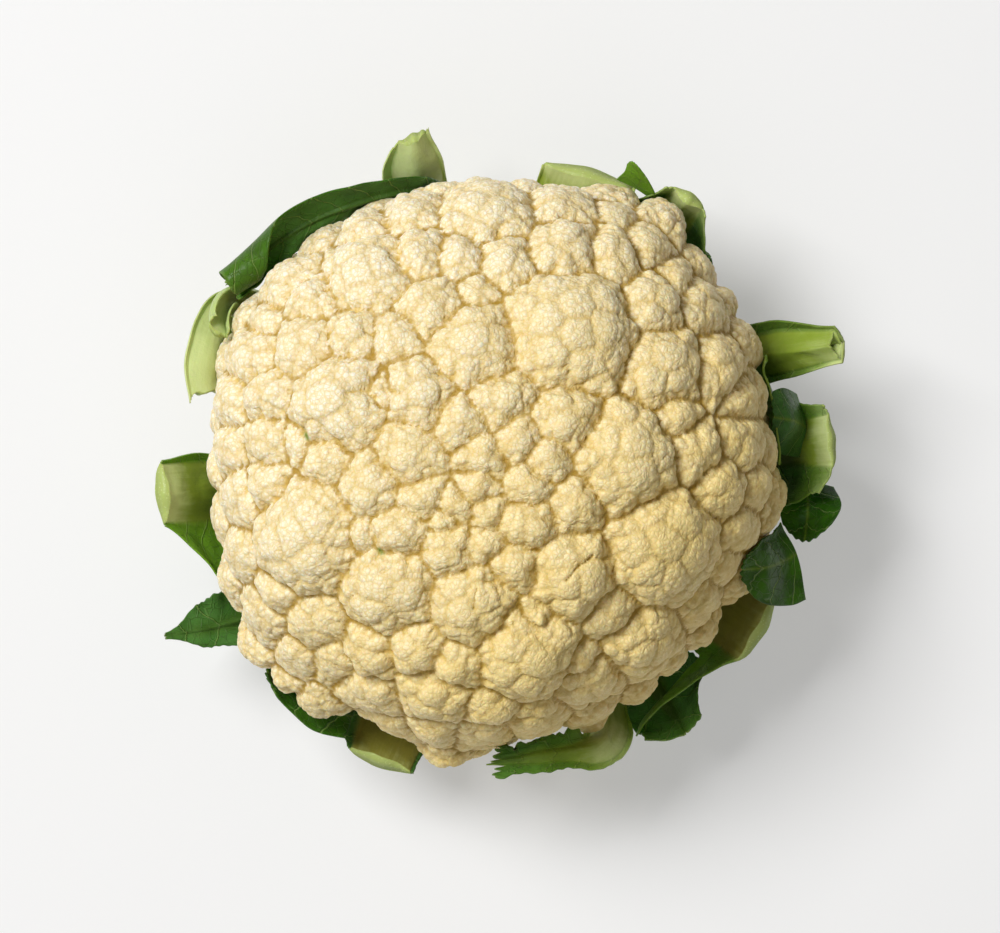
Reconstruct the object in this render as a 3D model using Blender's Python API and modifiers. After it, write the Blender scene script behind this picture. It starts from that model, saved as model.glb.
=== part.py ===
"""A trimmed head of cauliflower, standing on its cut stalk, built with Blender.

The curd is one grown body: florets stand on a core, and lobes stand on every floret. It sits on the
branches of the stalk. The cut leaves grow from the stalk and run out under the curd and up past its rim.
The frame has +Z up, the picture's right is +X, its top is +Y, and the origin is the centre of the stalk's
cut face. Tables are in millimetres and degrees, and the model is in metres.
"""

import math
import random

import bmesh
import bpy
from mathutils import Matrix, Vector

MM = 0.001

# The curd as a whole
CROWN_RISE = 64.0            # from the widest level to the top
WIDEST_LEVEL = 60.0          # height of the curd's widest level above the cut face
DOME_POWER = 2.2             # 2 is a true ellipsoid, more is fuller at the shoulder
REACH_STEP = 30.0            # degrees between the reaches below
REACH = (86, 86, 95, 89, 88, 90, 85, 86, 84, 86, 82, 83)   # plan radius of the curd, from +X round to -Y
CORE_INSET = 10.0            # how far the core lies inside the florets' outer surface
CORE_DEPTH = 26.0            # how far the core goes down below the widest level

# Florets as seen from above: x, y, radius, and how far each one is sunk below the dome
FLORETS = (
    # round the growing point
    (-2, 2.5, 7, 0), (-3.5, -5, 5.5, 0), (7.5, 7, 7, 0), (16, 2, 6.5, 0), (11, -5, 6.5, 0), (-10, -11, 5, 1),
    (-0.5, -12.5, 5, 1), (-13, -15, 4.5, 1), (-20, -8.5, 6.5, 0), (10.5, -17, 8.5, 0), (24.5, -11, 8.5, 0),
    (-1.5, -22, 5.5, 1), (-12, -23.5, 8, 0), (7.5, -28, 7.5, 1), (-26, -18, 8, 0), (-37, -19, 5.5, 1),
    (3, 19, 9, 0), (-8, 13, 7.5, 0), (-23, 4, 9, 0), (-34, -6, 9, 0), (21.5, 13.5, 9.5, 0), (-20, 20, 10, 0),
    (-32, 20.5, 5, 2),
    # the shoulders
    (23, 39, 18, -2), (-4, 34, 12, 0), (-44, 17.5, 14, -1), (39, 2, 15, -1), (-53, -20, 16, -1),
    (-29, -35, 13, 0), (-5, -39, 12, 0), (24, -31, 13, 0), (50, -24, 17, -1), (54, 15, 7, 2), (60, 4, 9, 2),
    (51, 28, 12, 0), (47.5, 47, 9.5, 0), (21.5, 63.5, 11, 0), (4.5, 60, 8.5, 1), (-8.5, 61.5, 7.5, 1),
    (35, 61.5, 9, 1), (45.5, 64, 7.5, 2), (54, 54, 7, 2), (-27, 38, 6.5, 2), (-40, 39, 8, 1),
    (-18.5, 46, 8.5, 1), (-36, 57, 15, 0), (-22, 62, 9.5, 1), (-52.5, 49, 10, 1), (-55, 35.5, 10.5, 1),
    (-55.5, 7, 5.5, 3), (-47, 2.5, 7, 1), (-65, 7, 8.5, 1), (-65.5, 21, 9.5, 0), (-65, -5, 8.5, 1),
    (-51, -47, 8.5, 4), (-45.5, -56.5, 7.5, 5), (-35.5, -54.5, 9, 1), (-21, -53, 9.5, 1), (-11.5, -57, 8, 1),
    (11.5, -53.5, 15, 0), (13, -43, 6.5, 0), (36, -43, 7.5, 4), (44.5, -53, 12.5, 2), (27, -57.5, 6.5, 4),
    # the rim
    (74, 8, 9.5, 3), (67, -5, 8.5, 2), (75.5, -8.5, 10, 6), (66, 28, 10, 1), (73, 19, 8, 2), (60.5, 47, 9, 1),
    (-1, 74, 14, 0), (21, 78, 9.5, 0), (37, 78, 9.5, 2), (47, 69, 11, 2), (58, 55, 8.5, 2), (65, 46, 8, 4),
    (70, 35, 9, 3), (-37, 69, 9.5, 2), (-24, 74, 9.5, 2), (-59, 54, 11, 2), (-66, 43, 7.5, 3),
    (-70, 32, 11, 2), (-75.5, 19, 9.5, 2), (-76, 5.5, 8.5, 2), (-73, -8, 8.5, 3), (-70, -32, 9, 6),
    (-62, -41, 8.5, 6), (-65, -50, 9.5, 9), (-56, -59, 8.5, 8), (-50, -64, 9, 9), (-35, -66, 8.5, 3),
    (-17.5, -66, 10, 2), (-14, -75, 10.5, 16), (-5, -79, 8.5, 20), (-1, -71.5, 8.5, 12), (12, -68, 9.5, 9),
    (31, -64, 10.5, 5), (29, -72, 7, 18), (56, -46, 9.5, 8), (68, -27, 11, 9), (50, -52, 8, 16),
    (-26, -70, 8.5, 14), (75, -20, 8, 14), (41, -61, 8, 14),
)
FILLER_RADIUS = 8.5          # of the florets that fill the gaps
FILLER_SUNK = 5.5            # how far they are sunk at the top, and less of it lower down
LEAST_SUNK = 0.15
FILL_TRIES = 1600
FILL_SPACING = 0.64          # least distance between a filler and another floret, as a share of both radii
LOWEST_WAY = -0.78           # fillers go down to this height on a unit ball, round under the rim
LOBE_SHARE = 0.46            # a lobe's radius as a share of its floret's
LEAST_LOBE = 3.4
LOBE_SPACING = 1.45          # of lobe centres, in lobe radii
FLORET_BODY = 0.86           # a floret's own ball, under its lobes, in floret radii
LOBE_STANDS = 1.05           # how far the lobes reach, in floret radii
CAP_ANGLE = 115.0            # lobes cover a floret out to this angle from its outward axis
FLORET_VOXEL = 1.5
CURD_KEEP = 0.064            # share of the fused surface's triangles that is kept
SEED = 7

# The stalk
TRUNK_PROFILE = ((0, 40), (17, 40), (24, 34), (20.5, 25), (20.5, 12), (21, 2.0), (19.5, 0), (0, 0))
TRUNK_SIDES = 28
BRANCHES = 11
FIRST_BRANCH = 9.0           # its azimuth
BRANCH_FROM = (9.0, 26.0)    # distance from the axis and height where a branch leaves the trunk
BRANCH_TO = (57.0, 49.0)
BRANCH_RADII = (8.0, 9.0)
GOLDEN_ANGLE = 137.508
FIT_GAP = 0.3                # between one piece and another that it grows from or rests on

# Leaves. A path is (distance from the axis, azimuth, height) from the stalk to the cut end. Everything
# else is one number, or several spread evenly from the stalk to the cut end. Widths are half widths:
# rib is the thick midrib, ccw and cw are the blades on either side of it. cup is how far the midrib's
# trough turns up at its edges, curl is how fast a blade turns beyond it, in degrees a millimetre, and
# sweep is how far a blade leans towards the cut end. curl_cw and sweep_cw are for the cw blade alone.
# face turns the upper side from up to inwards. ruffle is the height of the waves along a blade's
# margin, and saw is the depth of its teeth as a share of its width.
BLADE_THICKNESS = 1.0
LEAF_GAP = 1.9               # kept clear between a leaf and the florets
EASING_ROUNDS = 4
LEAF_START = 21.5            # distance from the axis where a leaf leaves the trunk
LEAF_ROWS = 15
RUFFLES = 3.4                # waves along a margin
TEETH = 6.5                  # teeth along a margin
RIB_COLUMNS = (0.0, 0.5, 1.0)
BLADE_COLUMNS = (0.5, 1.0)
LEAVES = {
    "leaf_north_stub": dict(
        path=((LEAF_START, 108, 9), (52, 105, 9.5), (82, 104, 20.5), (95, 104, 38), (105.5, 103, 64)),
        rib=(4, 5.5, 7, 8, 3.2), thick=(7, 8, 7, 6, 4), cup=25, ccw=(1.2, 1.2, 2, 4, 1.2), cw=1.2),
    "leaf_northwest_blade": dict(
        path=((LEAF_START, 112, 17), (56, 109, 21), (84, 103, 34), (90.5, 107, 56), (96, 127, 64),
              (100, 144, 64)),
        rib=(4, 4, 3, 1.6, 1.5, 1.5), thick=(4, 3.5, 3, 2, 1.6, 1.6), cup=10, face=(0, 20, 40, 40, 30, 20),
        ccw=(1.2, 1.2, 4, 7, 6, 5), cw=(1.2, 1.2, 3, 7, 14, 18), curl=(0, 0, 0, 1, 5, 9), ruffle=0.6),
    "leaf_west_slab": dict(
        path=((LEAF_START, 155, 9), (54, 153, 11), (84, 149, 26), (96, 150, 44), (97, 159, 54),
              (91, 168, 58)),
        rib=(4, 5, 5, 5.5, 6, 5.5), thick=(7, 7, 6, 5, 4.5, 4), cup=20, face=(0, 10, 25, 45, 60, 60),
        ccw=1.2, cw=(1.2, 1.2, 1.2, 3, 3, 1.2)),
    "leaf_west_curl": dict(
        path=((LEAF_START, 138, 16), (54, 142, 17.5), (84, 145, 33), (95, 148, 53), (91, 155, 64)),
        rib=(4, 4, 4, 5, 4), thick=(5, 5, 4, 2.5, 2), cup=50, face=(0, 10, 30, 40, 50),
        ccw=(1.2, 1.2, 2, 4, 3), cw=(1.2, 1.2, 2, 5, 4), curl=(0, 0, 4, 12, 12)),
    "leaf_west_petiole": dict(
        path=((LEAF_START, 187, 9), (50, 185, 11), (80, 184, 26), (92, 183.6, 40), (102, 183.4, 55)),
        rib=(4, 6, 9, 10, 10), thick=(7, 8, 7, 6, 5), cup=28,
        ccw=(1.2, 3, 24, 26, 1.2), cw=(1.2, 1.2, 2, 3, 1.2), curl=0.4, ruffle=1.0),
    "leaf_southwest_blade": dict(
        path=((LEAF_START, 218, 9), (52, 213, 11), (84, 212, 25), (98, 210, 34), (112, 207.4, 40)),
        rib=(4, 4, 3, 2, 1.2), thick=(6, 6, 4, 2, 1.2), cup=15,
        ccw=(1.2, 1.2, 7, 5, 1.2), cw=(1.2, 1.2, 10, 7, 1.2), curl=0.5, ruffle=1.2, saw=0.2),
    "leaf_south_petiole": dict(
        path=((LEAF_START, 258, 9), (48, 252, 10), (72, 249, 16), (88, 248.5, 26), (98, 248.5, 36)),
        rib=(4, 6.5, 9.5, 11, 10), thick=(7, 8, 7, 6, 5), cup=35,
        ccw=1.2, cw=(1.2, 1.2, 14, 27, 14), curl=-0.6, sweep=-0.2, ruffle=1.4, saw=0.15),
    "leaf_south_blade": dict(
        path=((LEAF_START, 296, 17), (56, 298, 19.5), (84, 293, 29), (93, 288, 38), (90, 281, 45),
              (89, 268, 48)),
        rib=(4, 4, 5.5, 5.5, 2.5, 1.6), thick=(5, 5, 6, 5, 2.5, 1.4), cup=20, face=(0, 0, 10, 30, 30, 20),
        ccw=(1.2, 1.2, 1.2, 1.5, 4, 6), cw=(1.2, 1.2, 1.2, 1.5, 3, 5), ruffle=0.8, saw=0.25),
    "leaf_southeast_blade": dict(
        path=((LEAF_START, 296, 9), (50, 304, 11), (76, 306.5, 18), (90, 306.5, 26), (102, 306, 36)),
        rib=(4, 5.5, 5.5, 5, 4.5), thick=(7, 7, 6, 4, 3), cup=15,
        ccw=(1.2, 1.2, 8, 15, 9), cw=(1.2, 1.2, 6, 9, 11), curl=1.2, ruffle=1.4, saw=0.1),
    "leaf_southeast_petiole": dict(
        path=((LEAF_START, 328, 9), (50, 329.5, 11), (76, 329.3, 24), (90, 329.2, 37), (96, 329, 50)),
        rib=(4, 6, 9, 11, 11), thick=(7, 8, 7, 6, 5), cup=35,
        ccw=(1.2, 1.2, 3, 16, 22), cw=(1.2, 1.2, 2, 6, 40), curl=(0, 0, 0.5, 1, 1.6), curl_cw=-1.2,
        sweep_cw=-0.5, ruffle=1.0),
    "leaf_east_blade": dict(
        path=((LEAF_START, 357, 9), (50, 1, 11), (80, 4, 23), (94, 4.3, 37), (105, 4.5, 52)),
        rib=(4, 6, 8, 9, 9), thick=(7, 8, 7, 6, 5), cup=25,
        ccw=(1.2, 1.2, 4, 7, 3), cw=(1.2, 1.2, 9, 20, 19), curl=1.0, ruffle=1.4, saw=0.1),
    "leaf_east_inner": dict(
        path=((LEAF_START, 12, 17), (52, 12, 19), (79, 12, 29.5), (90, 12, 46), (91, 12, 62)),
        rib=(4, 4, 3, 1.6, 1.4), thick=(5, 5, 3, 1.6, 1.4), cup=5,
        ccw=(1.2, 1.2, 6, 17, 17), cw=(1.2, 1.2, 6, 17, 16), curl=0.5, ruffle=0.5, saw=0.1),
    "leaf_east_petiole": dict(
        path=((LEAF_START, 27, 9), (50, 25.5, 11), (80, 24, 25), (97, 23, 42), (113, 20.5, 58)),
        rib=(4, 5, 6, 6.2, 2.2), thick=(7, 8, 7, 7, 3), cup=40,
        ccw=(1.2, 1.2, 5, 4, 1.2), cw=1.2, curl=1.0, ruffle=0.6),
    "leaf_northeast_petiole": dict(
        path=((LEAF_START, 50, 17), (52, 52, 19), (82, 53.5, 28), (99, 53.8, 46), (104, 53.6, 60)),
        rib=(4, 4, 5, 5.5, 5), thick=(5, 5, 5, 5, 4), cup=35,
        ccw=(1.2, 1.2, 4, 14, 2), cw=(1.2, 1.2, 8, 24, 2), curl=0.5, sweep=0.25, ruffle=0.8, saw=0.15),
    "leaf_north_petiole": dict(
        path=((LEAF_START, 77, 9), (50, 74, 10), (80, 71.6, 23), (90, 71.4, 33), (97.5, 71.4, 47)),
        rib=(4, 6, 11, 13, 13), thick=(7, 8, 7, 6, 5), cup=30, ccw=1.2, cw=1.2),
}

MATERIALS = {
    "curd": ((0.84, 0.74, 0.50), 0.55),
    "stalk": ((0.74, 0.76, 0.50), 0.50),
    "leaf": ((0.10, 0.24, 0.03), 0.45),
    "petiole": ((0.36, 0.46, 0.11), 0.40),
}


def profile(values, share):
    """A number, or several spread evenly from 0 to 1, read at a share of the way with eased steps."""
    if isinstance(values, (int, float)):
        return float(values)
    place = min(max(share, 0.0), 1.0) * (len(values) - 1)
    first = min(int(place), len(values) - 2)
    part = place - first
    eased = part * part * (3 - 2 * part)
    return values[first] + (values[first + 1] - values[first]) * eased


def reach_at(azimuth):
    """The curd's plan radius at an azimuth in degrees."""
    place = (azimuth % 360.0) / REACH_STEP
    first = int(place) % len(REACH)
    part = place - int(place)
    eased = part * part * (3 - 2 * part)
    return REACH[first] + (REACH[(first + 1) % len(REACH)] - REACH[first]) * eased


def dome_level(x, y, inset):
    """Height of the dome, taken in by inset, above the point x, y. Beyond its edge it is the widest level."""
    room = max(reach_at(math.degrees(math.atan2(y, x))) - inset, 1.0)
    share = min(math.hypot(x, y) / room, 1.0)
    return WIDEST_LEVEL + (CROWN_RISE - inset) * (1 - share ** DOME_POWER) ** (1 / DOME_POWER)


def curd_point(way, inset):
    """The point of the curd's whole outer shape, taken in by inset, that a direction on a unit ball gives."""
    room = reach_at(math.degrees(math.atan2(way.y, way.x))) - inset
    height = CROWN_RISE - inset if way.z > 0 else CORE_DEPTH + CORE_INSET - inset
    return Vector((way.x * room, way.y * room, WIDEST_LEVEL + way.z * height))


def floret_balls():
    """Every floret as (centre, radius): those in the table, then fillers wherever the table leaves a gap."""
    balls = []
    for x, y, radius, sunk in FLORETS:
        balls.append((Vector((x, y, dome_level(x, y, radius) - sunk)), float(radius)))
    for n in range(FILL_TRIES):
        level = 1 - (n + 0.5) / FILL_TRIES * (1 - LOWEST_WAY)
        inset = FILLER_RADIUS + FILLER_SUNK * max(level, LEAST_SUNK)
        centre = curd_point(around(math.sqrt(1 - level * level), n * GOLDEN_ANGLE, level), inset)
        if all((centre - other).length > max(FILL_SPACING * (FILLER_RADIUS + size), 0.95 * size)
               for other, size in balls):
            balls.append((centre, FILLER_RADIUS))
    return balls


def outward_axis(centre):
    """The way a floret at centre faces: away from a point on the axis, a little below the widest level."""
    return (centre - Vector((0, 0, WIDEST_LEVEL - 22))).normalized()


def lobes_of(centre, radius, draw):
    """The lobes on one floret, on a golden-angle spiral round its outward axis."""
    lobe = max(radius * LOBE_SHARE, LEAST_LOBE)
    cap = math.radians(CAP_ANGLE)
    count = max(6, round(2 * (1 - math.cos(cap)) * (radius / (lobe * LOBE_SPACING / 2)) ** 2 / 4 * 1.15))
    turn = outward_axis(centre).to_track_quat("Z", "Y")
    start = draw.uniform(0, 360)
    lobes = []
    for n in range(count):
        polar = math.acos(1 - (n + 0.5) / count * (1 - math.cos(cap)))
        way = around(math.sin(polar), start + n * GOLDEN_ANGLE, math.cos(polar))
        size = lobe * draw.uniform(0.85, 1.15)
        lobes.append((centre + turn @ way * (radius * LOBE_STANDS - size), size))
    return lobes


def around(distance, azimuth, height):
    """The point at a distance from the axis, an azimuth in degrees and a height."""
    turn = math.radians(azimuth)
    return Vector((distance * math.cos(turn), distance * math.sin(turn), height))


def material(name):
    found = bpy.data.materials.get(name)
    if found:
        return found
    made = bpy.data.materials.new(name)
    made.use_nodes = True
    shader = made.node_tree.nodes["Principled BSDF"]
    colour, roughness = MATERIALS[name]
    shader.inputs["Base Color"].default_value = (*colour, 1.0)
    shader.inputs["Roughness"].default_value = roughness
    shader.inputs["Metallic"].default_value = 0.0
    return made


def new_object(name, mesh, collection, finish):
    made = bpy.data.objects.new(name, mesh)
    made.data.materials.append(material(finish))
    collection.objects.link(made)
    return made


def ball_pattern(subdivisions):
    """Corners and faces of a ball of radius 1 made of triangles."""
    bm = bmesh.new()
    bmesh.ops.create_icosphere(bm, subdivisions=subdivisions, radius=1.0)
    corners = [vertex.co.copy() for vertex in bm.verts]
    faces = [[vertex.index for vertex in face.verts] for face in bm.faces]
    bm.free()
    return corners, faces


def build_curd(collection, stalk_cutter):
    draw = random.Random(SEED + 1)
    corners, faces = [], []

    def add(pattern, place_corner):
        first = len(corners)
        corners.extend(place_corner(way) * MM for way in pattern[0])
        faces.extend([first + n for n in face] for face in pattern[1])

    add(ball_pattern(5), lambda way: curd_point(way, CORE_INSET))
    floret_pattern, lobe_pattern = ball_pattern(3), ball_pattern(2)
    for centre, radius in floret_balls():
        add(floret_pattern, lambda way: centre + way * radius * FLORET_BODY)
        for place, size in lobes_of(centre, radius, draw):
            add(lobe_pattern, lambda way: place + way * size)
    mesh = bpy.data.meshes.new("curd")
    mesh.from_pydata(corners, [], faces)
    curd = new_object("curd", mesh, collection, "curd")
    fuse = curd.modifiers.new("Fuse florets", "REMESH")
    fuse.mode = "VOXEL"
    fuse.voxel_size = FLORET_VOXEL * MM
    thin = curd.modifiers.new("Fewer faces", "DECIMATE")
    thin.ratio = CURD_KEEP
    sit = curd.modifiers.new("Sit on the stalk", "BOOLEAN")
    sit.operation = "DIFFERENCE"
    sit.object = stalk_cutter
    sit.solver = "MANIFOLD"
    return curd


def trunk_mesh(name, grow):
    """The turned trunk, grown outwards by grow."""
    mesh = bpy.data.meshes.new(name)
    bm = bmesh.new()
    corners = []
    for n, (distance, height) in enumerate(TRUNK_PROFILE):
        lift = grow if height > 30 else (-grow if height < 1 else 0.0)
        wide = distance + grow if distance > 0 else 0.0
        corners.append(bm.verts.new(Vector((wide, 0, height + lift)) * MM))
    for first, second in zip(corners, corners[1:]):
        bm.edges.new((first, second))
    bm.to_mesh(mesh)
    bm.free()
    return mesh


def build_stalk(name, collection, helpers, grow=0.0):
    """The trunk with its branches joined on, as one body. grow makes the cutter that fits the curd to it."""
    stalk = new_object(name, trunk_mesh(name, grow), collection, "stalk")
    turned = stalk.modifiers.new("Turn", "SCREW")
    turned.steps = turned.render_steps = TRUNK_SIDES
    turned.use_merge_vertices = True
    turned.merge_threshold = 0.00001
    pieces = bpy.data.collections.new(name + "_branches")
    helpers.children.link(pieces)
    for n in range(BRANCHES):
        azimuth = n * 360.0 / BRANCHES + FIRST_BRANCH
        start = around(BRANCH_FROM[0], azimuth, BRANCH_FROM[1])
        end = around(BRANCH_TO[0], azimuth, BRANCH_TO[1])
        bm = bmesh.new()
        bmesh.ops.create_cone(
            bm, cap_ends=True, segments=12, depth=(end - start).length * MM + 2 * grow * MM,
            radius1=(BRANCH_RADII[0] + grow) * MM, radius2=(BRANCH_RADII[1] + grow) * MM)
        mesh = bpy.data.meshes.new(f"{name}_branch_{n:02d}")
        bm.to_mesh(mesh)
        bm.free()
        branch = bpy.data.objects.new(mesh.name, mesh)
        turn = (end - start).to_track_quat("Z", "Y").to_matrix().to_4x4()
        branch.matrix_world = Matrix.Translation((start + end) / 2 * MM) @ turn
        pieces.objects.link(branch)
    bpy.context.view_layer.update()
    join = stalk.modifiers.new("Join branches", "BOOLEAN")
    join.operation = "UNION"
    join.operand_type = "COLLECTION"
    join.collection = pieces
    apply_modifiers(stalk)
    for branch in tuple(pieces.objects):
        bpy.data.objects.remove(branch)
    bpy.data.collections.remove(pieces)
    return stalk


def apply_modifiers(obj):
    bpy.context.view_layer.update()
    graph = bpy.context.evaluated_depsgraph_get()
    made = bpy.data.meshes.new_from_object(obj.evaluated_get(graph))
    obj.modifiers.clear()
    obj.data = made


def curve_point(points, share):
    """A point on the smooth curve through points, at a share of the way along."""
    place = min(max(share, 0.0), 1.0) * (len(points) - 1)
    n = min(int(place), len(points) - 2)
    t = place - n
    before = points[n - 1] if n > 0 else 2 * points[0] - points[1]
    after = points[n + 2] if n + 2 < len(points) else 2 * points[-1] - points[-2]
    a, b = points[n], points[n + 1]
    return 0.5 * (2 * a + (b - before) * t + (2 * before - 5 * a + 4 * b - after) * t * t
                  + (3 * a - before - 3 * b + after) * t ** 3)


def arc(length, angle, rate):
    """Where an arc of that length ends that starts at an angle and turns at a rate, in the flat."""
    if abs(rate) < 1e-9:
        return length * math.cos(angle), length * math.sin(angle)
    last = angle + rate * length
    return (math.sin(last) - math.sin(angle)) / rate, (math.cos(angle) - math.cos(last)) / rate


def leaf_frame(leaf, points, share):
    """Place on the midrib, and the ways along it, across it (anticlockwise) and out of its upper side."""
    step = 0.01
    place = curve_point(points, share)
    ahead, behind = curve_point(points, min(share + step, 1)), curve_point(points, max(share - step, 0))
    along = (ahead - behind).normalized()
    azimuth = math.degrees(math.atan2(place.y, place.x))
    outward = around(1.0, azimuth, 0.0)
    if "face" in leaf:
        face = math.radians(profile(leaf["face"], share))
        upper = Vector((0, 0, 1)) * math.cos(face) - outward * math.sin(face)
    else:
        upper = Vector((0, 0, 1)) * max(along.dot(outward), 0.05) - outward * max(along.z, 0.0)
    upper = (upper - along * upper.dot(along)).normalized()
    return place, along, upper.cross(along).normalized(), upper


def leaf_point(leaf, points, share, side, rib_part, blade_part):
    """A point of the leaf's upper surface. side is 1 for the anticlockwise blade and -1 for the other."""
    place, along, across, upper = leaf_frame(leaf, points, share)
    rib = profile(leaf["rib"], share)
    width = profile(leaf["ccw"] if side > 0 else leaf["cw"], share)
    cup = math.radians(leaf["cup"])
    own = "" if side > 0 else "_cw"
    curl = math.radians(profile(leaf.get("curl" + own, leaf.get("curl", 0.0)), share))
    out, rise = arc(rib * rib_part, 0.0, cup / rib)
    if blade_part > 0:
        width *= 1 - leaf.get("saw", 0.0) * abs(2 * ((TEETH * share) % 1.0) - 1)
        more = arc(width * blade_part, cup, curl)
        wave = leaf.get("ruffle", 0.0) * min(width / 12, 1.0) * blade_part ** 2
        out, rise = out + more[0], rise + more[1] + wave * math.sin(2 * math.pi * RUFFLES * share + side)
    lean = leaf.get("sweep" + own, leaf.get("sweep", 0.0)) * width * blade_part
    return place + across * (side * out) + upper * rise + along * lean


def pushed_clear(place, balls):
    """place, moved out of every floret that it lies in or too near to."""
    for _ in range(4):
        for centre, radius in balls:
            apart = place - centre
            room = radius * LOBE_STANDS + LEAF_GAP
            if apart.length < room:
                place = centre + apart.normalized() * room
    return place


def eased_clear(places, rows, columns, balls):
    """A grid of places moved clear of the florets, with the moves spread softly over their neighbours."""
    moves = [pushed_clear(place, balls) - place for place in places]
    needed = list(moves)
    for _ in range(EASING_ROUNDS):
        spread = []
        for n, need in enumerate(needed):
            row, column = divmod(n, columns)
            beside = ((row, column), (row - 1, column), (row + 1, column), (row, column - 1), (row, column + 1))
            near = [moves[r * columns + c] for r, c in beside if 0 <= r < rows and 0 <= c < columns]
            mean = sum(near, Vector()) / len(near)
            way = need.normalized()
            spread.append(mean + way * max(need.length - mean.dot(way), 0.0))
        moves = spread
    return [place + move for place, move in zip(places, moves)]


def build_leaf(name, collection, balls):
    leaf = LEAVES[name]
    points = [around(*station) for station in leaf["path"]]
    half = [(part, 0.0) for part in RIB_COLUMNS] + [(1.0, part) for part in BLADE_COLUMNS]
    columns = [(-1, *part) for part in reversed(half[1:])] + [(1, *part) for part in half]
    bm = bmesh.new()
    bmesh.ops.create_grid(bm, x_segments=len(columns) - 1, y_segments=LEAF_ROWS - 1, size=1.0)
    mesh = bpy.data.meshes.new(name)
    bm.verts.ensure_lookup_table()
    ordered = sorted(bm.verts, key=lambda vertex: (round(vertex.co.y, 5), round(vertex.co.x, 5)))
    places, weights = [], []
    for row in range(LEAF_ROWS):
        share = row / (LEAF_ROWS - 1)
        body = profile(leaf["thick"], share)
        for side, rib_part, blade_part in columns:
            places.append(leaf_point(leaf, points, share, side, rib_part, blade_part))
            part = body * (1 - 0.75 * rib_part ** 2) if blade_part == 0 else 0.0
            weights.append(max(part, BLADE_THICKNESS) / max(leaf["thick"]))
    places = eased_clear(places, LEAF_ROWS, len(columns), balls)
    thickness = {}
    for vertex, place, weight in zip(ordered, places, weights):
        vertex.co = place * MM
        thickness[vertex.index] = weight
    bm.normal_update()
    bmesh.ops.triangulate(bm, faces=bm.faces)
    bm.to_mesh(mesh)
    bm.free()
    made = new_object(name, mesh, collection, "petiole" if "petiole" in name else "leaf")
    group = made.vertex_groups.new(name="thickness")
    for index, weight in thickness.items():
        group.add([index], weight, "REPLACE")
    thicken = made.modifiers.new("Thicken", "SOLIDIFY")
    thicken.thickness = max(leaf["thick"]) * MM
    thicken.offset = -1
    thicken.vertex_group = "thickness"
    return made


def main():
    for old in tuple(bpy.data.objects):
        bpy.data.objects.remove(old)
    scene = bpy.context.scene
    parts = bpy.data.collections.new("cauliflower")
    helpers = bpy.data.collections.new("cutters")
    scene.collection.children.link(parts)
    scene.collection.children.link(helpers)
    build_stalk("stalk", parts, helpers)
    cutter = build_stalk("stalk_cutter", helpers, helpers, grow=FIT_GAP)
    cutter.hide_render = True
    cutter.display_type = "WIRE"
    build_curd(parts, cutter)
    balls = floret_balls()
    for name in LEAVES:
        build_leaf(name, parts, balls)


main()
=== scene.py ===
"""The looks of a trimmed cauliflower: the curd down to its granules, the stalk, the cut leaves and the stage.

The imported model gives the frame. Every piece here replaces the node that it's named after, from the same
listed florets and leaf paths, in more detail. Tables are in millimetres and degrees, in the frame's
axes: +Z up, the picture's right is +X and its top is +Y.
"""

import math
import random

import bmesh
import bpy
import numpy
from bpy.props import FloatProperty, FloatVectorProperty, IntProperty, PointerProperty
from mathutils import Matrix, Vector, noise
from mathutils.kdtree import KDTree


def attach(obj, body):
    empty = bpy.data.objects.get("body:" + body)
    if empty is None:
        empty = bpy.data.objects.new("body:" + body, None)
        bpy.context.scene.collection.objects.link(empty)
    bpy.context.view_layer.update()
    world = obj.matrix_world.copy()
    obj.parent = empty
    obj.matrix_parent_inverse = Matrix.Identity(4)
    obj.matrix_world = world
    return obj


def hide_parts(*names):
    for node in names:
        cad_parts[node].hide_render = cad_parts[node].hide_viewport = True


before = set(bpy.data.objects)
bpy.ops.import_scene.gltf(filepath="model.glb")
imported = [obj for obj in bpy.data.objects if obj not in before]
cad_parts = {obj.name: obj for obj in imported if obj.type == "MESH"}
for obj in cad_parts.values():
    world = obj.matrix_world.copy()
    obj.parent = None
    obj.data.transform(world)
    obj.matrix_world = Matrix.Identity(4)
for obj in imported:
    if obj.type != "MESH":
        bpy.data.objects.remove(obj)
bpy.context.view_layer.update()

bl_info = {
    "name": "Cauliflower",
    "version": (1, 0, 0),
    "blender": (4, 5, 0),
    "location": "View3D > Sidebar > Cauliflower",
    "description": "Grows a trimmed head of cauliflower with its cut leaves",
    "category": "Add Mesh",
}

MM = 0.001
BODY = "root"
FRAME_WIDTH = 300.0          # of the picture, across the curd at its widest level
VIEW_CENTRE = (2.7, 0.15)    # under the middle of the picture

# The curd as a whole
CROWN_RISE = 64.0            # from the widest level to the top
WIDEST_LEVEL = 60.0          # height of the curd's widest level above the cut face
DOME_POWER = 2.2             # 2 is a true ellipsoid, more is fuller at the shoulder
REACH_STEP = 30.0            # degrees between the reaches below
REACH = (86, 86, 89, 87, 88, 90, 85, 86, 84, 86, 82, 80)   # plan radius of the curd, from +X round to -Y
CROWN_CENTRE = (0.0, 0.0, WIDEST_LEVEL)
UNDERSIDE = 36.0             # depth of the rounded underside below the widest level
LOWEST_WAY = -0.78           # the underside is taken in below this height on a unit ball, round the stalk
TAKEN_IN = 10.0

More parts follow.
